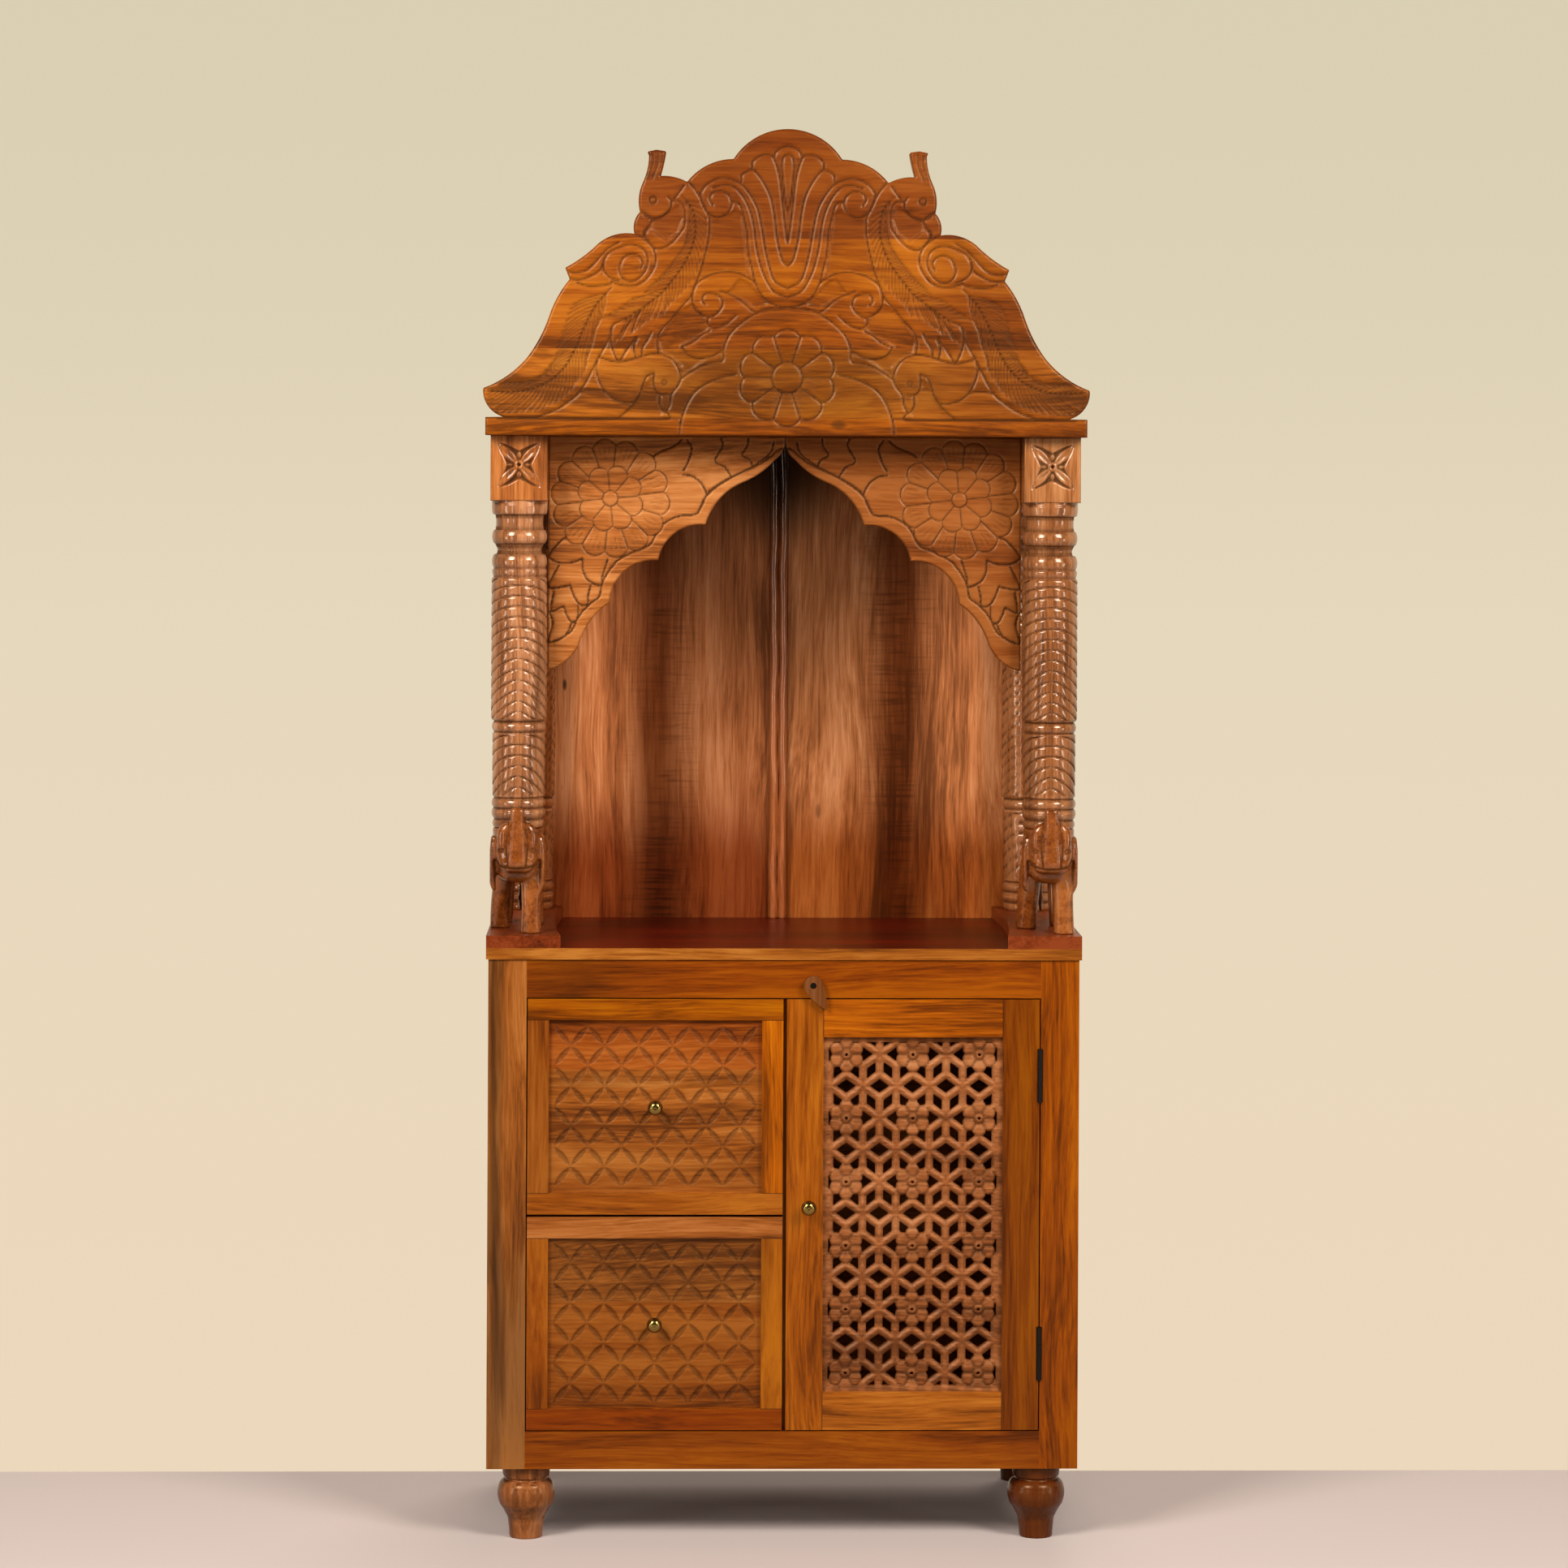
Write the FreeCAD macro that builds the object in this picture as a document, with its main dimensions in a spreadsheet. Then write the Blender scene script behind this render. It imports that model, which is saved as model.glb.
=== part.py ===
import FreeCAD, Part
import math
import os
import re

# Carved home altar cabinet: a cupboard base with two drawers and a lattice door,
# and an open shrine above it on turned pillars, two of them carried by elephants.
# Millimetres, +Z up, front towards -Y, origin on the floor under the middle of the box.

# Driving dimensions
SIZES = {
    "counter_width": 762,
    "counter_depth": 406,
    "counter_thick": 14.5,
    "counter_overhang": 3,
    "foot_height": 94,
    "foot_radius": 37,
    "foot_inset_side": 50,
    "foot_inset_front": 39,
    "foot_inset_back": 37,
    "post_width": 49,
    "frame_thick": 22,
    "opening_height": 554,
    "top_rail": 49,
    "bottom_rail": 48,
    "side_thick": 18,
    "floor_thick": 14,
    "lower_back_thick": 8,
    "divider_thick": 18,
    "front_thick": 20,
    "front_gap": 1.6,
    "drawer_gap": 3.5,
    "door_gap": 4.6,
    "door_shift": 1.3,
    "lower_front_height": 272,
    "drawer_frame": 27,
    "drawer_recess": 6,
    "panel_thick": 10,
    "panel_tongue": 6,
    "box_wall": 12,
    "box_floor": 8,
    "box_height": 190,
    "box_lift": 14,
    "box_side_gap": 5,
    "box_back_gap": 22,
    "runner_high": 16,
    "runner_ledge": 11,
    "runner_fit": 0.3,
    "drawer_travel": 260,
    "door_stile": 47,
    "door_rail": 48.5,
    "lattice_recess": 5,
    "lattice_thick": 11,
    "lattice_border": 7,
    "lattice_pitch": 42.6,
    "lattice_row": 40.75,
    "lattice_bar": 11,
    "rosette_radius": 22.5,
    "knob_radius": 9.4,
    "knob_length": 24,
    "knob_rise": 288,
    "knob_in": 28.5,
    "hinge_length": 68,
    "hinge_radius": 3.2,
    "hinge_pin": 1.6,
    "hinge_proud": 1,
    "hinge_low_rise": 99.5,
    "hinge_high_rise": 455,
    "hinge_fit": 0.3,
    "button_at": 37,
    "button_drop": 32.5,
    "button_length": 35,
    "button_head": 12.2,
    "button_thick": 8,
    "button_lean": 28.5,
    "button_hole": 4,
    "button_fit": 0.5,
    "screw_radius": 3.6,
    "plinth_width": 95,
    "plinth_thick": 16,
    "plinth_bow": 12,
    "elephant_back": 134.5,
    "elephant_width": 58,
    "elephant_length": 182,
    "head_rise": 11,
    "trunk_rise": 27,
    "trunk_width": 26,
    "leg_width": 24,
    "pillar_block": 73,
    "pillar_block_high": 84,
    "pillar_radius": 36,
    "pillar_setback": 2,
    "pillar_inset": 60,
    "back_pillar_inset": 4,
    "front_drum": 84,
    "back_drum": 98,
    "shrine_height": 654.5,
    "arch_thick": 18,
    "arch_setback": 52,
    "shrine_back_thick": 15.5,
    "batten_width": 26,
    "batten_thick": 14,
    "roof_thick": 18,
    "crest_overhang": 7,
    "crest_height": 393,
    "crest_thick": 20,
    "cornice_high": 23,
    "cornice_overhang": 4,
}

# Places that follow from the driving dimensions
PLACES = {
    "knob_reach": "knob_length - counter_overhang",
    "edge_y": "(knob_reach - counter_depth) / 2",
    "face_y": "edge_y + counter_overhang",
    "back_y": "edge_y + counter_depth",
    "case_half": "counter_width / 2 - counter_overhang",
    "open_half": "case_half - post_width",
    "side_inner": "case_half - side_thick",
    "open_z0": "foot_height + bottom_rail",
    "open_z1": "open_z0 + opening_height",
    "case_top": "open_z1 + top_rail",
    "counter_top_z": "case_top + counter_thick",
    "frame_back_y": "face_y + frame_thick",
    "lower_back_y": "back_y - lower_back_thick",
    "floor_top": "open_z0 - front_gap",
    "divider_x0": "door_shift - divider_thick / 2",
    "divider_x1": "door_shift + divider_thick / 2",
    "front_back_y": "face_y + front_thick",
    "drawer_x0": "-open_half + front_gap",
    "drawer_x1": "door_shift - door_gap / 2",
    "door_x0": "door_shift + door_gap / 2",
    "door_x1": "open_half - front_gap",
    "front_z0": "open_z0 + front_gap",
    "front_z1": "open_z1 - front_gap",
    "lower_z1": "front_z0 + lower_front_height",
    "upper_z0": "lower_z1 + drawer_gap",
    "box_x0": "drawer_x0 + box_side_gap",
    "box_x1": "min(drawer_x1 - box_side_gap; divider_x0 - 2 * runner_fit)",
    "box_y1": "lower_back_y - box_back_gap",
    "upper_box_z": "upper_z0 + box_lift",
    "lower_box_z": "front_z0 + box_lift",
    "drawer_mid_x": "(drawer_x0 + drawer_x1) / 2",
    "upper_mid_z": "(upper_z0 + front_z1) / 2",
    "lower_mid_z": "(front_z0 + lower_z1) / 2",
    "drawer_panel_y": "face_y + drawer_recess",
    "lattice_y": "face_y + lattice_recess",
    "lattice_x0": "door_x0 + door_stile",
    "lattice_x1": "door_x1 - door_stile",
    "lattice_z0": "front_z0 + door_rail",
    "lattice_z1": "front_z1 - door_rail",
    "door_knob_x": "door_x0 + knob_in",
    "knob_height": "open_z0 + knob_rise",
    "hinge_low": "open_z0 + hinge_low_rise",
    "hinge_high": "open_z0 + hinge_high_rise",
    "hinge_x": "door_x1 + front_gap / 2",
    "hinge_y": "face_y - hinge_proud",
    "button_z": "case_top - button_drop",
    "plinth_top": "counter_top_z + plinth_thick",
    "pillar_x": "(counter_width - pillar_block) / 2 - pillar_setback",
    "back_pillar_x": "pillar_x - back_pillar_inset",
    "front_pillar_y": "edge_y + pillar_inset",
    "back_pillar_y": "shrine_back_y - pillar_block / 2",
    "front_pillar_z": "plinth_top + elephant_back",
    "shrine_top": "counter_top_z + shrine_height",
    "arch_half": "pillar_x - pillar_block / 2",
    "arch_y": "front_pillar_y - pillar_block / 2 + arch_setback",
    "shrine_back_y": "back_y - shrine_back_thick",
    "batten_y": "shrine_back_y - batten_thick",
    "crest_back_y": "edge_y + crest_thick",
    "crest_half": "counter_width / 2 + crest_overhang",
    "cornice_half": "counter_width / 2 + cornice_overhang",
}

doc = FreeCAD.newDocument("altar_cabinet")
sheet = doc.addObject("Spreadsheet::Sheet", "Sizes")
for row, (alias, size) in enumerate(SIZES.items(), start=1):
    sheet.set(f"A{row}", alias)
    sheet.set(f"B{row}", str(size))
    sheet.setAlias(f"B{row}", alias)
doc.recompute()
places = doc.addObject("App::VarSet", "Places")
for alias in PLACES:
    places.addProperty("App::PropertyFloat", alias)


def linked(text):
    """Write an expression's plain names as references to the sheet or the places."""
    def owner(match):
        word = match[0]
        if word in SIZES:
            return "Sizes." + word
        return "Places." + word if word in PLACES else word
    return re.sub(r"[a-z]\w*", owner, text)


for alias, text in PLACES.items():
    places.setExpression(alias, linked(text))
doc.recompute()


def size(alias):
    """Value of a driving dimension or a place, in millimetres."""
    return float(sheet.get(alias)) if alias in SIZES else float(getattr(places, alias))


def board(name, low, high):
    """Square-edged board between two corners, each given as three expressions."""
    box = doc.addObject("Part::Box", name)
    for side, axis in (("Length", 0), ("Width", 1), ("Height", 2)):
        box.setExpression(side, linked(f"({high[axis]}) - ({low[axis]})"))
    for axis, letter in enumerate("xyz"):
        box.setExpression(f"Placement.Base.{letter}", linked(low[axis]))
    return box


def cut(name, base, tool):
    """Base with the tool taken away."""
    result = doc.addObject("Part::Cut", name)
    result.Base = base
    result.Tool = tool
    return result


def fuse(name, *pieces):
    """Pieces joined into one solid."""
    result = doc.addObject("Part::MultiFuse", name)
    result.Shapes = list(pieces)
    result.Refine = True
    return result


def feature(name, shape):
    """Piece whose shape is worked out from the sheet."""
    piece = doc.addObject("Part::Feature", name)
    piece.Shape = shape
    return piece


def vec(x, y, z):
    return FreeCAD.Vector(x, y, z)


def block(x0, x1, y0, y1, z0, z1, rounding=0):
    """Box by its limits, with all its edges rounded."""
    shape = Part.makeBox(x1 - x0, y1 - y0, z1 - z0, vec(x0, y0, z0))
    return shape.makeFillet(rounding, shape.Edges) if rounding else shape


def turned(steps, foot_z, centre_x, centre_y):
    """Turned piece: each step is its height, the radius at its top and its bulge."""
    _, radius, _ = steps[0]
    edges = [Part.makeLine(vec(0, 0, foot_z), vec(radius, 0, foot_z))]
    height = foot_z
    for rise, new_radius, bulge in steps[1:]:
        start = vec(radius, 0, height)
        end = vec(new_radius, 0, height + rise)
        if bulge:
            middle = vec((radius + new_radius) / 2 + bulge, 0, height + rise / 2)
            edges.append(Part.Arc(start, middle, end).toShape())
        else:
            edges.append(Part.makeLine(start, end))
        radius = new_radius
        height += rise
    edges.append(Part.makeLine(vec(radius, 0, height), vec(0, 0, height)))
    edges.append(Part.makeLine(vec(0, 0, height), vec(0, 0, foot_z)))
    face = Part.Face(Part.Wire(edges))
    shape = face.revolve(vec(0, 0, 0), vec(0, 0, 1), 360)
    shape.translate(vec(centre_x, centre_y, 0))
    return shape


def outline(points):
    """Closed wire in the XZ plane: a point with a partner is reached by an arc through it."""
    edges = []
    at = points[0]
    for point in points[1:]:
        if len(point) == 4:
            through = vec(point[0], 0, point[1])
            edges.append(Part.Arc(vec(*at), through, vec(point[2], 0, point[3])).toShape())
            at = (point[2], 0, point[3])
        else:
            edges.append(Part.makeLine(vec(*at), vec(point[0], 0, point[1])))
            at = (point[0], 0, point[1])
    return Part.Wire(edges)


def slab(points, front_y, thick):
    """Board of even thickness cut to an outline."""
    shape = Part.Face(outline(points)).extrude(vec(0, thick, 0))
    shape.translate(vec(0, front_y, 0))
    return shape


def both_sides(name, shape):
    """Left piece as modelled, and its mirror image on the right."""
    feature(name + "_left", shape)
    feature(name + "_right", shape.mirror(vec(0, 0, 0), vec(1, 0, 0)))


# Feet
def feet():
    high = size("foot_height")
    radius = size("foot_radius")
    steps = [(0, 20.5, 0), (1.5, 21.3, 0), (17, 22.8, -0.3), (11, 26, -0.9), (10, 31.7, -0.4),
             (9, radius - 1.4, 0.7), (16.5, radius - 1.4, 1.3), (9.8, 27.6, 2.4), (2.8, 27.6, -0.5),
             (1, 29.5, 0), (high - 78.6, 30, 0.8)]
    x = size("case_half") - size("foot_inset_side")
    rows = (("front", size("face_y") + size("foot_inset_front")), ("back", size("back_y") - size("foot_inset_back")))
    for end, y in rows:
        shape = turned(steps, 0, -x, y)
        both_sides(f"foot_{end}", shape)


# Cupboard frame
def hinge_seats(owner):
    """Notches round the two hinge barrels, for the door's edge or the post's."""
    return [board(f"{owner}_seat_{level}",
                  ("hinge_x - hinge_radius - hinge_fit", "face_y - 1",
                   f"hinge_{level} - hinge_length / 2 - hinge_fit"),
                  ("hinge_x + hinge_radius + hinge_fit", "hinge_y + hinge_radius + hinge_fit",
                   f"hinge_{level} + hinge_length / 2 + hinge_fit"))
            for level in ("low", "high")]


def cupboard():
    board("post_left", ("-case_half", "face_y", "foot_height"), ("-open_half", "frame_back_y", "case_top"))
    blank = board("post_right_blank", ("open_half", "face_y", "foot_height"),
                  ("case_half", "frame_back_y", "case_top"))
    cut("post_right", blank, fuse("post_seats", *hinge_seats("post")))
    board("rail_bottom", ("-open_half", "face_y", "foot_height"), ("open_half", "frame_back_y", "open_z0"))
    board("rail_top", ("-open_half", "face_y", "open_z1"), ("open_half", "frame_back_y", "case_top"))
    board("side_left", ("-case_half", "frame_back_y", "foot_height"), ("-side_inner", "back_y", "case_top"))
    board("side_right", ("side_inner", "frame_back_y", "foot_height"), ("case_half", "back_y", "case_top"))
    board("cupboard_floor", ("-side_inner", "frame_back_y", "floor_top - floor_thick"),
          ("side_inner", "lower_back_y", "floor_top"))
    board("cupboard_back", ("-side_inner", "lower_back_y", "foot_height"), ("side_inner", "back_y", "case_top"))
    board("cupboard_divider", ("divider_x0", "frame_back_y", "floor_top"),
          ("divider_x1", "lower_back_y", "case_top"))
    board("counter", ("-counter_width / 2", "edge_y", "case_top"),
          ("counter_width / 2", "back_y", "counter_top_z"))


def runners():
    """Two strips on the side board and two on the divider carry the drawer boxes."""
    for side, x0, x1 in (("left", "-side_inner", "box_x0 + runner_ledge"),
                         ("right", "box_x1 - runner_ledge", "divider_x0")):
        strips = []
        for level in ("upper", "lower"):
            top = f"{level}_box_z - runner_fit"
            strips.append(board(f"strip_{side}_{level}", (x0, "frame_back_y", f"{top} - runner_high"),
                                (x1, "lower_back_y", top)))
        pair = doc.addObject("Part::Compound", f"drawer_runners_{side}")
        pair.Links = strips


# Drawers
def drawer(level, z0, z1, box_z):
    outer = board(f"{level}_frame_blank", ("drawer_x0", "face_y", z0), ("drawer_x1", "front_back_y", z1))
    window = board(f"{level}_frame_window", ("drawer_x0 + drawer_frame", "face_y - 1", f"{z0} + drawer_frame"),
                   ("drawer_x1 - drawer_frame", "front_back_y + 1", f"{z1} - drawer_frame"))
    groove = board(f"{level}_frame_groove",
                   ("drawer_x0 + drawer_frame - panel_tongue", "drawer_panel_y",
                    f"{z0} + drawer_frame - panel_tongue"),
                   ("drawer_x1 - drawer_frame + panel_tongue", "drawer_panel_y + panel_thick",
                    f"{z1} - drawer_frame + panel_tongue"))
    cut(f"drawer_{level}_frame", outer, fuse(f"{level}_frame_inside", window, groove))
    board(f"drawer_{level}_panel",
          ("drawer_x0 + drawer_frame - panel_tongue", "drawer_panel_y", f"{z0} + drawer_frame - panel_tongue"),
          ("drawer_x1 - drawer_frame + panel_tongue", "drawer_panel_y + panel_thick",
           f"{z1} - drawer_frame + panel_tongue"))
    body = board(f"{level}_box_blank", ("box_x0", "front_back_y", box_z),
                 ("box_x1", "box_y1", f"{box_z} + box_height"))
    hollow = board(f"{level}_box_hollow", ("box_x0 + box_wall", "front_back_y + box_wall", f"{box_z} + box_floor"),
                   ("box_x1 - box_wall", "box_y1 - box_wall", f"{box_z} + box_height + 1"))
    cut(f"drawer_{level}_box", body, hollow)


def knob_shape():
    """Round brass knob on a stem, its foot at the origin and its face towards -Y."""
    radius = size("knob_radius")
    length = size("knob_length")
    steps = [(0, 6.5, 0), (1.5, 6.5, 0), (2.5, 3.6, -0.8), (6, 3.8, 0), (3, radius - 1, -1),
             (length - 18, radius - 0.4, 1), (5, 0.5, 2.8)]
    shape = turned(steps, 0, 0, 0)
    shape.rotate(vec(0, 0, 0), vec(1, 0, 0), 90)
    return shape


def knobs():
    spots = {"drawer_upper_knob": ("drawer_mid_x", "drawer_panel_y", "upper_mid_z"),
             "drawer_lower_knob": ("drawer_mid_x", "drawer_panel_y", "lower_mid_z"),
             "door_knob": ("door_knob_x", "face_y", "knob_height")}
    for name, spot in spots.items():
        knob = feature(name, knob_shape())
        for letter, place in zip("xyz", spot):
            knob.setExpression(f"Placement.Base.{letter}", linked(place))


# Door
def door_frame():
    outer = board("door_blank", ("door_x0", "face_y", "front_z0"), ("door_x1", "front_back_y", "front_z1"))
    window = board("door_window", ("lattice_x0", "face_y - 1", "lattice_z0"),
                   ("lattice_x1", "front_back_y + 1", "lattice_z1"))
    groove = board("door_groove", ("lattice_x0 - panel_tongue", "lattice_y", "lattice_z0 - panel_tongue"),
                   ("lattice_x1 + panel_tongue", "lattice_y + lattice_thick", "lattice_z1 + panel_tongue"))
    inside = fuse("door_inside", window, groove)
    cut("door_frame", outer, fuse("door_cuts", inside, *hinge_seats("door")))


def rhombus(centre, along, half_long, half_short):
    """Diamond hole with its long diagonal turned by an angle from X."""
    cos_a = math.cos(along)
    sin_a = math.sin(along)
    corners = []
    for long_part, short_part in ((half_long, 0), (0, half_short), (-half_long, 0), (0, -half_short)):
        corners.append(vec(centre[0] + long_part * cos_a - short_part * sin_a, 0,
                           centre[1] + long_part * sin_a + short_part * cos_a))
    return Part.Face(Part.makePolygon(corners + corners[:1]))


def rosette(centre, radius):
    """Six-petalled flower: six round lobes about a middle."""
    lobe = radius * 0.42
    lobes = [Part.Face(Part.Wire(Part.Circle(vec(centre[0], 0, centre[1]), vec(0, 1, 0), lobe * 1.25).toShape()))]
    for turn in range(6):
        angle = math.radians(30 + 60 * turn)
        middle = vec(centre[0] + (radius - lobe) * math.cos(angle), 0, centre[1] + (radius - lobe) * math.sin(angle))
        lobes.append(Part.Face(Part.Wire(Part.Circle(middle, vec(0, 1, 0), lobe).toShape())))
    return lobes


def lattice():
    """Lattice of diamonds about three-way joints, with flowers on every second crossing."""
    pitch = size("lattice_pitch")
    row = size("lattice_row")
    bar = size("lattice_bar")
    border = size("lattice_border")
    x0, x1 = size("lattice_x0"), size("lattice_x1")
    z0, z1 = size("lattice_z0"), size("lattice_z1")
    mid_x, mid_z = (x0 + x1) / 2, (z0 + z1) / 2
    window = Part.Face(Part.makePolygon([vec(x0 + border, 0, z0 + border), vec(x1 - border, 0, z0 + border),
                                         vec(x1 - border, 0, z1 - border), vec(x0 + border, 0, z1 - border),
                                         vec(x0 + border, 0, z0 + border)]))
    rows = int((z1 - z0) / row) + 1
    columns = int((x1 - x0) / pitch) + 2
    holes = []
    flowers = []
    half_long = pitch / math.sqrt(3) / 2
    inset = bar / 2
    for level in range(rows + 1):
        z = mid_z + (level - rows / 2) * row
        odd = (level - rows // 2 + 1) % 2
        for column in range(-columns // 2 - 1, columns // 2 + 2):
            x = mid_x + (column + odd / 2) * pitch
            for run_x, run_z in ((pitch, 0), (pitch / 2, row), (-pitch / 2, row)):
                middle = (x + run_x / 2, z + run_z / 2)
                across = math.atan2(run_z, run_x) + math.pi / 2
                length = math.hypot(run_x, run_z) / 2 - inset * 2
                width = half_long - inset * 1.155
                holes.append(rhombus(middle, across, width, length))
            if not odd and column % 2 == 0 and z0 < z < z1 and x0 < x < x1:
                flowers.extend(rosette((x, z), size("rosette_radius")))
    inside = [hole.common(window) for hole in holes]
    inside = [hole for hole in inside if hole.Area > 4]
    tongue = size("panel_tongue")
    sheet_face = Part.Face(Part.makePolygon([vec(x0 - tongue, 0, z0 - tongue), vec(x1 + tongue, 0, z0 - tongue),
                                             vec(x1 + tongue, 0, z1 + tongue), vec(x0 - tongue, 0, z1 + tongue),
                                             vec(x0 - tongue, 0, z0 - tongue)]))
    flower = flowers[0].multiFuse(flowers[1:])
    open_holes = inside[0].multiFuse(inside[1:]).cut(flower)
    face = sheet_face.cut(open_holes).removeSplitter()
    shape = face.extrude(vec(0, size("lattice_thick"), 0))
    shape.translate(vec(0, size("lattice_y"), 0))
    return shape


def door():
    door_frame()
    feature("door_lattice", lattice().Solids[0])


# Hinges
def hinge(level, height):
    """Butt hinge barrel: outer knuckles and pin go with the post, the middle knuckle with the door."""
    radius = size("hinge_radius")
    x, y = size("hinge_x"), size("hinge_y")
    length = size("hinge_length")
    third = length / 3
    fit = size("hinge_fit")
    z0 = size(height) - length / 2
    axis = vec(0, 0, 1)
    pin_hole = Part.makeCylinder(size("hinge_pin") + fit / 3, length, vec(x, y, z0), axis)
    middle = Part.makeCylinder(radius, third - 2 * fit, vec(x, y, z0 + third + fit), axis).cut(pin_hole)
    low = Part.makeCylinder(radius, third, vec(x, y, z0), axis)
    high = Part.makeCylinder(radius, third, vec(x, y, z0 + 2 * third), axis)
    pin = Part.makeCylinder(size("hinge_pin"), length, vec(x, y, z0), axis)
    feature(f"hinge_{level}_fixed", low.fuse([high, pin]).removeSplitter())
    feature(f"hinge_{level}_moving", middle)


def hinges():
    hinge("lower", "hinge_low")
    hinge("upper", "hinge_high")


# Turn button
def turn_button():
    """Drop-shaped wooden button that turns on a screw in the top rail."""
    head = size("button_head")
    length = size("button_length")
    thick = size("button_thick")
    side_z = -head * 0.12
    side_x = math.sqrt(head * head - side_z * side_z)
    belly_x, belly_z = side_x * 0.62, -length * 0.58
    wire = outline([(0, 0, -length), (belly_x, belly_z, side_x, side_z), (0, head, -side_x, side_z),
                    (-belly_x, belly_z, 0, -length)])
    body = Part.Face(wire).extrude(vec(0, thick, 0))
    body = body.cut(Part.makeCylinder(size("button_hole"), thick, vec(0, 0, 0), vec(0, 1, 0)))
    body.rotate(vec(0, 0, 0), vec(0, -1, 0), size("button_lean"))
    button = feature("turn_button", body)
    stem = Part.makeCylinder(size("screw_radius"), thick + size("button_fit") - 2, vec(0, 0, 0), vec(0, -1, 0))
    screw = feature("turn_button_screw", stem)
    button.setExpression("Placement.Base.y", linked("face_y - button_fit - button_thick"))
    screw.setExpression("Placement.Base.y", linked("face_y"))
    for piece in (button, screw):
        piece.setExpression("Placement.Base.x", linked("button_at"))
        piece.setExpression("Placement.Base.z", linked("button_z"))


# Plinths and elephants
def plinths():
    outer = -size("counter_width") / 2
    inner = outer + size("plinth_width")
    y0, y1 = size("edge_y"), size("shrine_back_y")
    bow = size("plinth_bow")
    corners = [vec(inner, y0, 0), vec(outer, y0, 0), vec(outer, y1, 0), vec(inner - bow / 2, y1, 0)]
    edges = [Part.makeLine(corners[i], corners[i + 1]) for i in range(3)]
    edges.append(Part.Arc(corners[3], vec(inner - bow, (y0 + 2 * y1) / 3, 0), corners[0]).toShape())
    shape = Part.Face(Part.Wire(edges)).extrude(vec(0, 0, size("plinth_thick")))
    shape.translate(vec(0, 0, size("counter_top_z")))
    both_sides("plinth", shape)


def frustum(low, high):
    """Tapered block between two level rectangles: middle x, middle y, half x, half y and height."""
    rings = []
    for x, y, half_x, half_y, z in (low, high):
        points = [vec(x - half_x, y - half_y, z), vec(x + half_x, y - half_y, z),
                  vec(x + half_x, y + half_y, z), vec(x - half_x, y + half_y, z)]
        rings.append(Part.makePolygon(points + points[:1]))
    return Part.makeLoft(rings, True, True)


def elephant_legs(x, y0, foot_z, hip_z):
    """Walking legs: the near and far fore legs, then the hind ones."""
    half = size("leg_width") / 2
    length = size("elephant_length")
    stance = [(17, 17, 50, 36), (-18, -23, 88, 103), (17, 20, length - 32, length - 40),
              (-18, -23, length - 22, length - 14)]
    return [frustum((x + foot_x, y0 + foot_y, half + 1.5, half + 1, foot_z),
                    (x + hip_x, y0 + hip_y, half, half, hip_z))
            for hip_x, foot_x, hip_y, foot_y in stance]


def elephants():
    """Walking elephants that carry the front pillars, trunks raised: both set the same fore leg forward."""
    x = -size("pillar_x")
    y0 = size("edge_y")
    foot_z = size("plinth_top")
    back_z = foot_z + size("elephant_back")
    half = size("elephant_width") / 2
    length = size("elephant_length")
    belly_z = foot_z + 66
    body = block(x - half, x + half, y0 + 30, y0 + length, belly_z, back_z, 10)
    saddle = Part.makeCylinder(size("pillar_radius") - 3, 8, vec(x, size("front_pillar_y"), back_z - 8))
    head = block(x - half, x + half, y0 + 7, y0 + 50, back_z - 53, back_z - 2, 11)
    brow = block(x - half + 2, x + half - 2, y0 + 7, y0 + 25, back_z - 32, back_z + size("head_rise"), 7)
    trunk_half = size("trunk_width") / 2
    jaw = frustum((x, y0 + 11, trunk_half + 1, 8, back_z - 48), (x, y0 + 9, trunk_half, 8.5, back_z - 22))
    trunk = frustum((x, y0 + 9, trunk_half, 8.5, back_z - 22),
                    (x, y0 + 13, trunk_half - 5, 6, back_z + size("trunk_rise")))
    ears = [block(x + turn * (half + 3.5) - 4.5, x + turn * (half + 3.5) + 4.5, y0 + 28, y0 + 64,
                  back_z - 80, back_z - 8, 4) for turn in (-1, 1)]
    tail = frustum((x, y0 + length + 3, 2, 2, foot_z + 14), (x, y0 + length - 2, 4.5, 4, back_z - 12))
    legs = elephant_legs(x, y0, foot_z, belly_z + 12)
    shape = body.fuse([saddle, head, brow, jaw, trunk, tail] + legs + ears).removeSplitter()
    feature("elephant_left", shape)
    other = shape.copy()
    other.translate(vec(-2 * x, 0, 0))
    feature("elephant_right", other)


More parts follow.
